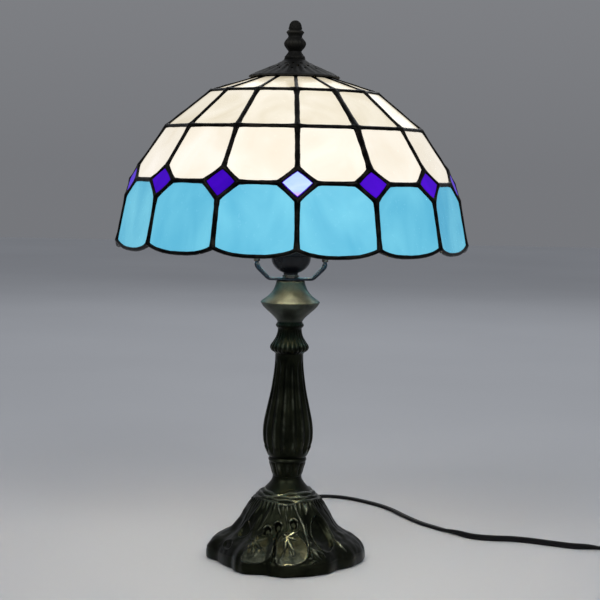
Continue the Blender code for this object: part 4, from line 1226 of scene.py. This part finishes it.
def carve_foot(relief):
    """The water-lily motif, as it faces the front."""
    right = [(-72.9, 22.5), (-73.6, 18.5), (-77.5, 13.4), (-83.5, 10.6), (-90.5, 9.9),
             (-97.0, 10.3), (-99.4, 13.5), (-99.3, 19.0), (-99.8, 25.5), (-96.5, 30.5),
             (-89.5, 32.6), (-82.0, 31.6), (-76.0, 27.5)]
    left = [(-124.5, 13.0), (-123.5, 19.0), (-124.5, 24.0), (-122.5, 28.5), (-116.5, 31.0),
            (-109.5, 30.5), (-104.5, 27.6), (-101.9, 23.5), (-102.4, 18.0), (-105.2, 12.8),
            (-110.5, 9.8), (-117.5, 9.6), (-122.5, 10.6)]
    relief.pad(left, 1.5, 0.4, 0.30, 0.33)
    relief.pad(right, 1.7, 0.5, 0.75, 0.30)
    fans = (
        ((-120.0, 24.8), 1.1, 0.9, (
            ((-135.0, 26.8), 1.1, 0.0), ((-123.8, 29.2), 1.1, 0.25), ((-111.2, 27.0), 1.2, 0.6),
            ((-109.0, 18.5), 1.1, 0.4), ((-115.2, 13.5), 1.2, 0.3), ((-121.6, 17.0), 1.0, 0.2))),
        ((-90.6, 28.6), 1.3, 0.8, (
            ((-75.4, 34.4), 1.3, 1.0), ((-80.0, 26.0), 1.0, 0.6), ((-84.6, 18.0), 1.4, 0.8),
            ((-92.6, 19.4), 1.6, 0.9), ((-97.6, 25.0), 1.0, 0.2), ((-95.6, 31.8), 1.0, 0.6))),
    )
    for middle, height, start, tips in fans:
        for tip, width, rub in tips:
            relief.stroke([middle, tip], width, height, rub, start, end=0.15)
    for line, *rib in (
        # veins and the pads' edges
        ([(-104.2, 28.5), (-101.9, 23.0), (-102.3, 18.0), (-105.8, 12.0)], 0.9, 1.0, 0.9),
        ([(-117.4, 21.0), (-114.2, 17.6), (-116.6, 13.2)], 0.8, 0.8, 0.3),
        ([(-89.5, 23.5), (-87.6, 18.6), (-85.4, 17.2), (-85.6, 21.0), (-87.6, 25.6)],
         0.7, 1.0, 0.7, 0.4, 0.5),
        ([(-92.5, 20.5), (-94.2, 16.5), (-96.6, 13.0)], 0.9, 1.0, 0.5),
        ([(-78.6, 31.5), (-81.4, 29.4), (-84.6, 29.5)], 0.6, 0.9, 0.5),
        # stalks
        ([(-80.5, 53.5), (-74.8, 44.6), (-70.4, 35.3), (-70.2, 27.5), (-72.3, 21.5),
          (-76.5, 14.6), (-82.5, 10.9)], 1.4, 1.5, 0.8, 0.6, 0.4),
        ([(-106.6, 53.5), (-102.0, 48.6), (-98.0, 43.4)], 1.3, 1.3, 0.7, 0.7),
        ([(-94.0, 53.0), (-92.4, 47.0), (-91.0, 41.0), (-90.6, 34.0)], 0.9, 0.6, 0.2),
        ([(-115.0, 53.0), (-117.6, 46.0), (-121.5, 38.0), (-126.0, 31.0)], 1.8, 0.9, 0.1),
        ([(-59.6, 52.0), (-60.6, 49.0), (-62.9, 45.4)], 1.7, 1.3, 1.0, 0.8, 0.5),
        ([(-48.0, 53.5), (-41.0, 47.0), (-35.5, 40.0), (-32.5, 31.5), (-36.0, 23.5),
          (-39.5, 17.5)], 1.7, 1.2, 0.35),
        ([(-36.0, 23.0), (-36.4, 19.0), (-34.0, 14.6)], 1.4, 1.2, 0.9, 0.3, 0.7),
        ([(-137.0, 50.0), (-143.0, 41.0), (-147.0, 32.0)], 2.2, 0.8, 0.0),
        ([(-160.0, 50.0), (-158.0, 38.0), (-162.0, 28.0)], 2.6, 0.7, 0.0),
        ([(-128.0, 44.0), (-131.0, 36.0), (-138.0, 29.0)], 1.8, 0.7, 0.05),
        ([(-19.0, 50.0), (-14.0, 40.0), (-13.0, 30.0)], 2.4, 0.6, 0.05),
        ([(-66.0, 38.0), (-67.2, 30.0), (-67.0, 24.0)], 0.9, 0.8, 0.3),
        # the long leaf's edge, and the little flower at its foot
        ([(-54.5, 41.5), (-59.0, 37.5), (-62.5, 31.6), (-63.4, 26.0), (-62.0, 20.5),
          (-57.5, 16.4)], 0.9, 1.1, 0.8),
        ([(-69.8, 21.4), (-66.8, 16.2), (-64.2, 12.8)], 1.8, 1.5, 1.0, 0.5, 0.3),
        ([(-74.6, 14.8), (-70.8, 15.0)], 1.2, 1.5, 0.7, 0.5, 0.3),
        ([(-73.8, 10.6), (-70.0, 12.6), (-66.9, 11.6)], 1.2, 1.5, 0.7, 0.5, 0.3),
        ([(-68.4, 25.0), (-68.7, 22.6)], 1.3, 1.5, 0.9, 0.5, 0.3),
        ([(-70.8, 19.6), (-71.8, 14.2), (-70.0, 10.2)], 1.2, 1.5, 0.6, 0.5, 0.3),
        ([(-67.4, 20.0), (-62.4, 17.0), (-60.4, 14.0)], 1.1, 1.5, 0.4, 0.5, 0.3),
    ):
        relief.stroke(line, *rib)
    # the long leaf, and two dents on the side
    relief.hollow([(-52.3, 42.4), (-58.7, 37.7), (-62.2, 31.8), (-63.2, 26.3), (-61.6, 20.6),
                   (-56.5, 17.4), (-49.5, 17.6), (-42.0, 20.4), (-36.8, 26.0), (-36.2, 34.0),
                   (-39.0, 41.0), (-45.5, 44.6)], 3.0, 0.3)
    relief.hollow([(-146.0, 38.0), (-152.0, 33.0), (-153.0, 27.0), (-147.0, 24.0), (-139.0, 26.5),
                   (-137.0, 32.0)], 1.6, 0.2)
    relief.hollow([(-160.0, 19.0), (-158.0, 14.5), (-150.0, 14.0), (-146.0, 17.5), (-150.0, 21.0)],
                  1.5, 0.2)
    for place, size in (((-82.2, 39.2), 3.7), ((-101.2, 37.2), 3.6), ((-113.2, 33.2), 3.8)):
        relief.bud(place, size)
    relief.stroke([(-101.0, 33.0), (-100.8, 24.0), (-101.2, 15.0), (-103.6, 10.4)], 1.3, 1.6, 0.0,
                  carve=True)


def make_base():
    foot, top = low("base_casting").z, high("base_casting").z
    outer = outline(
        0.6,
        [(12.6, top), (12.9, 71.4), (14.2, 68.8), (18.2, 63.9), (25.3, 57.6), (31.0, 51.2),
         (35.6, 44.4), (40.2, 36.6), (45.3, 30.0), (50.6, 25.8), (56.6, 22.2), (62.0, 18.8),
         (65.8, 14.6), (67.9, 10.2)],
        [(68.6, 8.0), (68.9, 4.6), (68.7, 1.4), (68.2, foot)],
    )
    segments = 480
    angle = math.radians(LOBE_START) + np.arange(segments) * math.tau / segments
    drop = np.concatenate(([0.0], np.cumsum(np.linalg.norm(np.diff(outer, axis=0), axis=1))))
    half = segments // 2
    down, around = np.meshgrid(drop, angle[:half], indexing="ij")
    radius = np.repeat(outer[:, :1], half, axis=1)
    relief = Relief(around, down, radius, np.column_stack((drop, outer[:, 1])))
    carve_foot(relief)
    height = np.tile(relief.body + relief.ribs - relief.grooves, 2)
    rub = np.tile(relief.rub, 2)
    down, around = np.meshgrid(drop, angle, indexing="ij")
    radius = np.repeat(outer[:, :1], segments, axis=1)
    level = np.repeat(outer[:, 1:], segments, axis=1)

    # strands wound round the shoulder, and the pleats that fan out below them
    wind = np.full_like(down, -9.0)
    for middle, wave, phase, width in ((60.8, 1.0, 0.4, 1.0), (58.6, 1.0, 2.0, 1.1),
                                       (56.6, 0.9, 3.7, 1.0), (54.5, 1.0, 5.2, 1.1)):
        line = middle + wave * np.sin(4 * around + phase) + 0.5 * np.sin(8 * around + 2.1 * phase)
        near = np.abs(level - line) / width * 1.3
        wind = np.maximum(wind, ridge(near, 1.6) * (0.9 + 0.2 * np.sin(6 * around + phase)))
    wind = np.maximum(wind, 0.0)
    # facing weights a painted highlight on the strands and pleats towards the front and the back of
    # the foot.
    facing = 0.5 - 0.5 * np.cos(2 * around)
    pleat = np.abs(np.cos(26 * around + 0.25 * np.sin(4 * around))) ** 3
    pleat = pleat * smoothstep(54.6 - level, 0.0, 1.2) * (1 - smoothstep(54.0 - level, 2.0, 7.5))
    height = height * (1 - smoothstep(level, 52.5, 55.0)) + wind + 0.65 * pleat
    rub = np.maximum(rub * (1 - smoothstep(level, 52.5, 55.0)), wind**2 * (0.15 + 0.95 * facing**2))
    rub = np.maximum(rub, 0.7 * pleat**2 * facing**2)

    # broad folds, and the bare casting's unevenness
    lump = np.array([[noise.noise(Vector((math.cos(a) * r, math.sin(a) * r, z)) * 0.06)
                      + 0.4 * noise.noise(Vector((math.cos(a) * r, math.sin(a) * r, z)) * 0.17)
                      for a, r, z in zip(*row)] for row in zip(around, radius, level)])
    slope_part = plateau(level, 17.0, 30.0, 50.0, 56.0)
    folds = 0.7 * np.sin(10 * around + 0.05 * down) + 0.5 * np.sin(16 * around + 1.3)
    on_slope = plateau(level, 9.0, 11.2, 52.0, 56.0)
    height = height * smoothstep(level, 8.6, 10.6) + slope_part * 0.4 * folds
    height = height + on_slope * (0.9 * lump - 0.1)
    height = height + 0.3 * lump * (1 - smoothstep(level, 66.0, 71.0))
    height = height * (1 - smoothstep(level, 69.0, 72.5)) - 0.3 * smoothstep(10.0 - level, 0.0, 1.0)

    tangent = np.gradient(outer, axis=0)
    tangent /= np.linalg.norm(tangent, axis=1)[:, None]
    normal = np.stack((-tangent[:, 1], tangent[:, 0]), axis=1)
    r = radius * foot_waves(around, level) + normal[:, :1] * height
    z = np.maximum(level + normal[:, 1:] * height, foot)

    inner = [(66.3, foot), (66.3, foot + 1.5), (63.6, foot + 1.5), (62.6, 14.0), (48.0, 22.0),
             (33.0, 36.0), (26.0, 46.0), (5.3, 46.0), (5.3, top)]
    points = []
    for ring_r, ring_z in zip(r, z):
        points += ring_about(angle, ring_r, ring_z)
    for ring_r, ring_z in inner:
        points += ring_about(angle, ring_r * foot_waves(angle, ring_z), ring_z)
    faces = closed_skin(len(outer) + len(inner), segments)
    blurred = height.copy()
    for _ in range(5):
        blurred = (blurred + np.roll(blurred, 1, 1) + np.roll(blurred, -1, 1)
                   + np.roll(blurred, 1, 0) + np.roll(blurred, -1, 0)) / 5
    # Raised edges are rubbed, and brighter towards the front and the back as painted highlight.
    edges = np.clip((height - blurred) * 1.2 - 0.10, 0.0, 0.4) * (0.2 + 0.8 * facing)
    patch = np.clip(0.75 + 0.9 * lump, 0.3, 1.0)
    wear = np.clip((rub + edges * 0.5) * patch, 0.0, 1.0)
    wear = np.concatenate((wear.ravel(), np.zeros(len(inner) * segments)))
    base = piece("lily_pad_foot", (points, faces), "bronze", "stand", ["base_casting"],
                 wear=wear, sharp=65)
    bushing = (low("cord_bushing") + high("cord_bushing")) / 2
    place = Matrix.Translation((0.0, bushing.y - 8.0, bushing.z))
    cut(base, [moved(rod(4.4, 24.0, 32), place @ ALONG_Y)])


def make_stem():
    foot, top = low("stem_casting").z, high("stem_casting").z
    line = closed_outline(
        0.8,
        [(5.3, top), (10.8, top)],
        [(11.1, 207.4), (12.0, 205.8), (11.7, 204.2), (10.4, 202.9)],
        [(10.6, 199.6), (12.0, 195.0), (14.6, 190.8), (16.6, 187.8), (16.9, 185.6),
         (15.4, 183.2), (13.0, 181.6), (12.0, 180.4)],
        [(12.3, 179.4), (12.2, 178.0)],
        [(12.7, 170.0), (13.7, 161.0), (15.7, 148.0), (18.9, 133.0), (21.2, 122.0),
         (22.1, 113.0), (21.6, 104.6), (19.5, 98.2), (17.3, 93.2), (15.7, 90.2)],
        [(16.5, 89.0), (16.6, 87.6), (15.7, 86.2)],
        [(15.0, 83.4), (13.5, 78.6), (12.6, foot)],
        [(5.3, foot)],
    )

    def carve(angle, r, z):
        """Flutes down the vase, gadroons on the knop, and leaf tips above and below the bead."""
        outside = smoothstep(r, 8.0, 9.5)
        vase = plateau(z, 93.0, 100.0, 170.0, 177.0)
        flute = 0.5 + 0.5 * np.cos(16 * angle)
        r = r - outside * vase * 1.5 * flute**1.3 * (r / 21.0) ** 0.5
        knop = hill(z, 186.8, 4.4)
        r = r - outside * knop * 1.1 * (0.5 + 0.5 * np.cos(24 * angle)) ** 1.6
        ribs = plateau(z, 191.0, 193.5, 201.0, 202.8)
        r = r - outside * ribs * 0.55 * (0.5 + 0.5 * np.cos(24 * angle)) ** 2
        bead = hill(z, 205.6, 1.4)
        r = r + outside * bead * 0.16 * np.cos(22 * angle)
        below = 86.2 - z
        tips = plateau(below, 0.0, 1.0, 9.0, 12.0)
        r = r + outside * tips * 0.9 * (np.abs(np.cos(6 * angle)) ** 0.6 - 0.35)
        reach = 96.4 + 5.0 * np.abs(np.sin(8 * angle))
        low_leaf = plateau(z, 90.6, 91.6, reach - 2.0, reach)
        r = r + outside * low_leaf * 0.6
        return r, z

    def wear(p):
        angle, z = math.atan2(p[1], p[0]), p[2]
        if math.hypot(p[0], p[1]) < 8:
            return 0.0
        patchy = 0.5 + 0.8 * noise.noise(Vector(p) * 0.07) + 0.3 * noise.noise(Vector(p) * 0.3)
        crest = (0.5 - 0.5 * math.cos(16 * angle)) ** 6
        vase = plateau(z, 95.0, 102.0, 165.0, 176.0)
        knop = hill(z, 188.0, 3.2) * (0.5 - 0.5 * math.cos(24 * angle)) ** 3
        beads = sum(hill(z, level, 0.7) for level in (206.0, 179.6, 88.4))
        tips = hill(z, 82.0, 3.0) * abs(math.cos(6 * angle)) ** 6
        rub = 0.34 * crest * vase + 0.6 * knop + 0.25 * beads + 0.4 * tips
        return min(1.0, max(0.0, patchy) * rub)

    turned("fluted_stem", line, 256, "bronze", "stand", ["stem_casting"],
           closed=True, shape=carve, wear=wear, sharp=60)


def make_bell():
    foot, top, rim = low("bell_cap").z, high("bell_cap").z, radius_of("bell_cap")
    line = closed_outline(
        0.7,
        [(5.3, top), (11.7, top)],
        [(12.3, top - 0.5), (12.5, top - 1.6)],
        [(13.2, 240.0), (15.2, 235.4), (18.9, 231.0), (23.4, 227.6), (rim - 0.1, 226.0),
         (rim, 225.2), (rim - 0.5, 224.3)],
        [(23.4, 221.6), (20.6, 218.8), (17.4, 216.0), (14.4, 213.2), (12.0, 210.6),
         (10.8, foot)],
        [(5.3, foot)],
    )

    def wear(p):
        # The rim band and the top edge are rubbed; the rise over the upper face is painted light
        # from the bulb above.
        return (0.55 * hill(p[2], 225.4, 0.9)
                + 0.25 * smoothstep(p[2], top - 2.4, top - 0.4)
                + 0.12 * smoothstep(p[2], 226.0, 236.0))

    turned("bell_cup", line, 144, "bell", "stand", ["bell_cap"], closed=True, wear=wear)


def make_felt():
    top = high("base_felt").z
    line = outline(1.5, [(0.0, top), (65.2, top)], [(65.5, top / 2), (65.3, 0.0)],
                   [(0.0, 0.0)])
    turned("felt_pad", line, 180, "felt", "stand", ["base_felt"],
           shape=lambda angle, r, z: (r * lobe_share(angle), z))


def make_hidden_hardware():
    """The pipe and washers keep their CAD solids, with a finished surface."""
    for node, material in (("threaded_pipe", "zinc"), ("bottom_washer", "zinc"),
                           ("socket_contact", "brass")):
        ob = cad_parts[node]
        slot, finish = MATERIALS[material]
        ob.data.materials.clear()
        ob.data.materials.append(finish)


# ---- mains lead ----

CORD_WIDTH, CORD_THICKNESS = 5.5, 3.0
CORD_REST = CORD_THICKNESS / 2 + 0.05
SWITCH_START, SWITCH_END = low("switch_housing").x, high("switch_housing").x
SWITCH_Y = (low("switch_housing").y + high("switch_housing").y) / 2
PLUG_Y = (low("plug").y + high("plug").y) / 2
COIL_TURN = (PLUG_Y - SWITCH_Y) / 2  # radius of the coil's outermost turn
COIL_X, COIL_Y = high("cord_coil").x - COIL_TURN - 3.2, (SWITCH_Y + PLUG_Y) / 2
COIL_INNER_TURN = 22.3
COIL_LAYER, COIL_CROSSING = 2.5, 0.5  # turns in each of the two layers, and between them
COIL_LOW, COIL_HIGH = 2.3, 5.5
BUSHING_END = high("cord_bushing").y
BUSHING_Z = (low("cord_bushing").z + high("cord_bushing").z) / 2
BLADE_OFFSET = 6.35  # each of the plug's blades from its middle
CORD_ROUTE = (
    (0.0, BUSHING_END - 4.0, BUSHING_Z), (0.0, BUSHING_END + 0.3, BUSHING_Z),
    (0.0, 106.0, 6.0), (0.0, 121.0, 2.9),
    *((x, y, CORD_REST) for x, y in (
        (0.7, 142.0), (3.0, 170.0), (7.0, 203.0), (15.0, 232.0), (27.0, 252.0), (42.0, 261.0),
        (57.0, 260.5), (71.0, 253.0), (86.0, 238.0), (101.0, 218.0), (112.0, 196.0),
        (121.0, 170.0), (133.0, 141.0), (146.0, 120.0), (161.0, 98.0), (175.0, 80.0),
        (193.0, 73.0), (211.0, 71.0), (229.0, 64.0), (246.0, 54.0), (264.0, 45.0), (281.0, 43.0),
        (SWITCH_START, SWITCH_Y))),
)
ON_EDGE_FROM, ON_EDGE_TO = 158.0, 282.0  # between these x the free cord stands on its edge


def coil_points():
    """The wound cord: two and a half turns in, half a turn up, two and a half turns out."""
    out = []
    turns, steps = 2 * COIL_LAYER + COIL_CROSSING, 440
    for k in range(steps + 1):
        t = turns * k / steps
        inward = min(t, COIL_LAYER) / COIL_LAYER
        outward = max(t - COIL_LAYER - COIL_CROSSING, 0.0) / COIL_LAYER
        radius = COIL_TURN + (COIL_INNER_TURN - COIL_TURN) * (inward - outward)
        climb = smoothstep(t, COIL_LAYER + 0.05, COIL_LAYER + COIL_CROSSING - 0.05)
        angle = -math.pi / 2 + math.tau * t
        out.append((COIL_X + radius * math.cos(angle), COIL_Y + radius * math.sin(angle),
                    COIL_LOW + (COIL_HIGH - COIL_LOW) * climb))
    return out


def cord_path():
    """The cord's middle line, and how far it is rolled onto its edge at each point."""
    route = through(CORD_ROUTE, 3.0)
    rolls = []
    for p in route:
        on_edge = smoothstep(p[0], ON_EDGE_FROM - 10, ON_EDGE_FROM + 14)
        on_edge = on_edge * (1 - smoothstep(p[0], ON_EDGE_TO - 16, ON_EDGE_TO + 12))
        rolls.append(math.pi / 2 * float(on_edge) * (p[1] < 130))
        p[2] += (CORD_WIDTH - CORD_THICKNESS) / 2 * math.sin(rolls[-1])
    inside = through([(SWITCH_START, SWITCH_Y, CORD_REST), (SWITCH_START + 14, SWITCH_Y, 4.0),
                      (SWITCH_END - 14, SWITCH_Y, 4.0), (SWITCH_END, SWITCH_Y, COIL_LOW)], 4.0)[1:]
    lead_in = through([(SWITCH_END, SWITCH_Y, COIL_LOW), (COIL_X, SWITCH_Y, COIL_LOW)], 4.0)[1:-1]
    plug_z = (low("plug").z + high("plug").z) / 2
    plug_face = high("plug").x
    lead_out = through([(COIL_X, PLUG_Y, COIL_HIGH), (COIL_X - 10, PLUG_Y, COIL_HIGH + 0.1),
                        (plug_face + 8, PLUG_Y, plug_z - 0.2),
                        (plug_face - 3.0, PLUG_Y, plug_z)], 4.0)[1:]
    path = [np.asarray(p, dtype=float) for p in route + inside + lead_in + coil_points() + lead_out]
    return path, rolls + [0.0] * (len(path) - len(rolls))


def twin_section():
    """Two round cores moulded side by side, with a groove between them."""
    out = []
    radius = CORD_THICKNESS / 2
    offset = CORD_WIDTH / 2 - radius
    for side in (1, -1):
        for k in range(9):
            angle = math.radians(-130 + 260 * k / 8)
            out.append((side * (offset + radius * math.cos(angle)),
                        side * radius * math.sin(angle)))
    return out


def make_cord():
    path, rolls = cord_path()
    section = np.array(twin_section())
    rings = []
    for ring, middle, roll in zip(sweep(path, section), path, rolls):
        side = ring[4] - middle
        side /= np.linalg.norm(side)
        over = np.array((0.0, 0.0, 1.0)) - side * side[2]
        over /= np.linalg.norm(over)
        c, s = math.cos(roll), math.sin(roll)
        rings.append([middle + side * (a * c - b * s) + over * (a * s + b * c)
                      for a, b in section])
    cord = piece("mains_cord", loft(rings), "vinyl", "stand", ["cord", "cord_coil"], sharp=60)
    return cord, [tuple(p * MM) for p in path]


def make_bushing():
    start, end = low("cord_bushing").y, high("cord_bushing").y
    wall = 8.7
    line = closed_outline(
        0.9,
        [(4.0, 0.0), (4.0, wall)],
        [(5.6, wall)],
        [(5.6, wall + 1.8), (5.2, wall + 2.4)],
        [(4.5, wall + 2.6)],
        [(4.4, wall + 5.0)],
        [(3.6, end - start)], [(2.9, end - start)], [(2.9, 0.0)],
    )[::-1]

    def grooves(angle, r, z):
        along = z - wall - 5.0
        ring = (along > 0) * (r > 3.3) * (0.5 + 0.5 * np.cos(along * math.tau / 3.4)) ** 3
        wide = 1.0 + 0.12 * np.cos(2 * angle)
        return (r - 0.45 * ring) * np.where(z > wall + 3, wide, 1.0), z

    turned("strain_relief", line, 56, "vinyl", "stand", ["cord_bushing"], closed=True,
           shape=grooves, at=(0.0, start, BUSHING_Z), along="Y")


def long_loft(stations, centre):
    """A moulded body along X from (x, half width, half height, height of its middle)."""
    return loft([[(x, centre + a, z + b) for a, b in superellipse(wide, tall, 4.0, 56)]
                 for x, wide, tall, z in stations])


def make_switch():
    start, end = SWITCH_START, SWITCH_END
    centre, top = (start + end) / 2, high("switch_housing").z
    half, mid = (high("switch_housing").y - low("switch_housing").y) / 2, top / 2
    stations = through(
        [(start, 4.2, 2.6, 2.7), (start + 3.0, 5.2, 3.2, 3.3), (start + 7.0, 8.6, 5.4, 5.5),
         (start + 11.0, 11.2, 7.2, 7.3), (start + 17.0, half - 0.3, mid - 0.2, mid - 0.1),
         (start + 24.0, half, mid, mid)], 1.4)
    mirrored = [s * (-1, 1, 1, 1) + (start + end, 0, 0, 0) for s in reversed(stations)]
    housing = piece("inline_switch", long_loft(stations + mirrored, SWITCH_Y), "housing", "stand",
                    ["switch_housing"])
    place = (centre, SWITCH_Y)
    rim = prism(superellipse(12.4, 7.4, 5.0), top - 2.0, top + 0.1, place)
    cut(housing, [rim], operation="UNION")
    well = prism(superellipse(9.6, 4.9, 7.0), 6.0, top + 4.0, place)
    slab = prism([(-23.0, -30.0), (23.0, -30.0), (23.0, 30.0), (-23.0, 30.0)], -0.175, 0.175)
    seam = [moved(slab, Matrix.Translation((centre, SWITCH_Y + side * (half + 29.55), mid)))
            for side in (-1, 1)]
    cut(housing, [well, *seam])
    rocker = []
    for x, half_z, rise in ((-8.5, 3.2, 0.9), (-8.1, 3.8, 1.0), (-5.0, 3.9, 0.55), (0.0, 3.6, -0.1),
                            (5.0, 3.9, 0.55), (8.1, 3.8, 1.0), (8.5, 3.2, 0.9)):
        rocker.append([(x, a, b + rise * (b > 0)) for a, b in superellipse(4.35, half_z, 6.0, 36)])
    pivot = Matrix.Translation((centre, SWITCH_Y, 13.2))
    tilt = Matrix.Rotation(math.radians(9.0), 4, "Y")
    piece("rocker_key", moved(loft(rocker), pivot @ tilt), "phenolic", "rocker", ["switch_rocker"],
          sharp=30)
    return housing


def make_plug():
    face, back = low("plug").x + 16.0, high("plug").x
    half, mid = (high("plug").y - low("plug").y) / 2, high("plug").z / 2
    stations = [(face, half - 1.2, mid - 1.0, mid), (face + 0.8, half - 0.2, mid - 0.2, mid),
                (face + 6.0, half, mid, mid), (face + 12.0, half - 0.8, mid - 0.4, mid),
                (face + 17.0, half - 3.4, mid - 1.4, mid), (face + 22.0, 6.6, 4.6, mid),
                (face + 26.0, 5.0, 3.6, mid), (back, 4.2, 2.9, mid)]
    stations = through(stations, 1.0)
    for s in stations:
        grip = math.cos((s[0] - face) * math.tau / 2.6) * float(7.0 < s[0] - face < 18.0)
        s[1] -= 0.22 * grip
    plug = piece("moulded_plug", long_loft(stations, PLUG_Y), "vinyl", "stand", ["plug"])
    blades, holes = [], []
    section = superellipse(0.75, 3.15, 8.0, 24)
    taper = ((2.0, 1.0), (-14.4, 1.0), (-15.6, 0.86), (-16.0, 0.6))
    for y in (PLUG_Y - BLADE_OFFSET, PLUG_Y + BLADE_OFFSET):
        blades.append(loft([[(face + x, y + a * share, mid + b * share) for a, b in section]
                            for x, share in taper]))
        holes.append(moved(rod(1.5, 6.0, 24), Matrix.Translation((face - 12.6, y, mid)) @ ALONG_Y))
    pins = piece("plug_blades", many(blades), "brass", "stand")
    cut(pins, holes)
    return plug, pins


def make_tie():
    """A strap round the coil's right side, which keeps its turns together."""
    inner = COIL_INNER_TURN - CORD_WIDTH / 2 - 0.8
    outer = COIL_TURN + CORD_WIDTH / 2 + 0.8
    low_z, high_z = 0.35, COIL_HIGH + CORD_THICKNESS / 2 + 0.5
    half_width, half_thickness = 4.5, 0.3
    centre = np.array((COIL_X + (inner + outer) / 2, (low_z + high_z) / 2))
    loop = centre + superellipse((outer - inner) / 2, (high_z - low_z) / 2, 5.0, 72)
    inward = centre - loop
    inward /= np.linalg.norm(inward, axis=1)[:, None]
    points, faces = [], []
    for at, step in zip(loop, inward * half_thickness):
        points += [(x, COIL_Y + y, z) for x, z in (at - step, at + step)
                   for y in (-half_width, half_width)]
    for k in range(len(loop)):
        a, b = 4 * k, 4 * ((k + 1) % len(loop))
        for one, two in ((0, 1), (1, 3), (3, 2), (2, 0)):
            faces.append((a + one, a + two, b + two, b + one))
    return piece("coil_strap", (points, faces), "vinyl", "stand")


def make_lead():
    cord, path = make_cord()
    make_bushing()
    housing = make_switch()
    plug, pins = make_plug()
    tie = make_tie()
    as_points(path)


# ---- floor and lights ----

FLOOR_HALF = 6.0  # metres
HORIZON, ZENITH = (0.180, 0.185, 0.199), (0.44, 0.452, 0.475)


def make_floor():
    corners = [(x * FLOOR_HALF, y * FLOOR_HALF, 0) for x, y in ((-1, -1), (1, -1), (1, 1), (-1, 1))]
    mesh = bpy.data.meshes.new("floor")
    mesh.from_pydata(corners, [], [(0, 1, 2, 3)])
    mesh.materials.append(floor_material())
    floor = bpy.data.objects.new("floor", mesh)
    floor.location.z = -0.0001
    SCENE.collection.objects.link(floor)


def area_light(name, place, aim, size, power, colour):
    data = bpy.data.lights.new(name, "AREA")
    data.size = size
    data.energy = power
    data.color = colour
    light = bpy.data.objects.new(name, data)
    SCENE.collection.objects.link(light)
    light.location = place
    light.rotation_euler = (Vector(aim) - Vector(place)).to_track_quat("-Z", "Y").to_euler()


def make_lights():
    world = bpy.data.worlds.new("studio")
    SCENE.world = world
    world.use_nodes = True
    tree = world.node_tree
    across = tree.nodes.new("ShaderNodeSeparateXYZ")
    tree.links.new(tree.nodes.new("ShaderNodeTexCoord").outputs["Generated"], across.inputs[0])
    shade = tree.nodes.new("ShaderNodeMix")
    shade.data_type = "RGBA"
    tree.links.new(across.outputs["Z"], shade.inputs[0])
    shade.inputs[6].default_value = (*HORIZON, 1.0)
    shade.inputs[7].default_value = (*ZENITH, 1.0)
    tree.links.new(shade.outputs[2], tree.nodes["Background"].inputs["Color"])
    area_light("key", (-1.2, -1.7, 1.9), (0.0, 0.0, 0.2), 0.9, 20.0, (1.0, 0.98, 0.95))
    area_light("front", (0.5, -1.4, 1.3), (0.0, 0.0, 0.08), 0.5, 9.0, (1.0, 0.99, 0.95))
    area_light("fill", (2.0, -1.4, 1.2), (0.0, 0.0, 0.2), 1.8, 5.0, (0.94, 0.97, 1.0))
    area_light("back", (0.3, 2.2, 1.8), (0.0, 0.0, 0.2), 1.8, 12.0, (0.96, 0.98, 1.0))
    SCENE.view_settings.view_transform = "Standard"


make_camera()
make_lead()
make_shade()
make_cap()
make_finial()
make_shade_rest()
make_harp()
make_ferrules()
make_saddle()
make_nuts()
make_socket()
make_bulb()
make_base()
make_stem()
make_bell()
make_felt()
make_hidden_hardware()
make_floor()
make_lights()
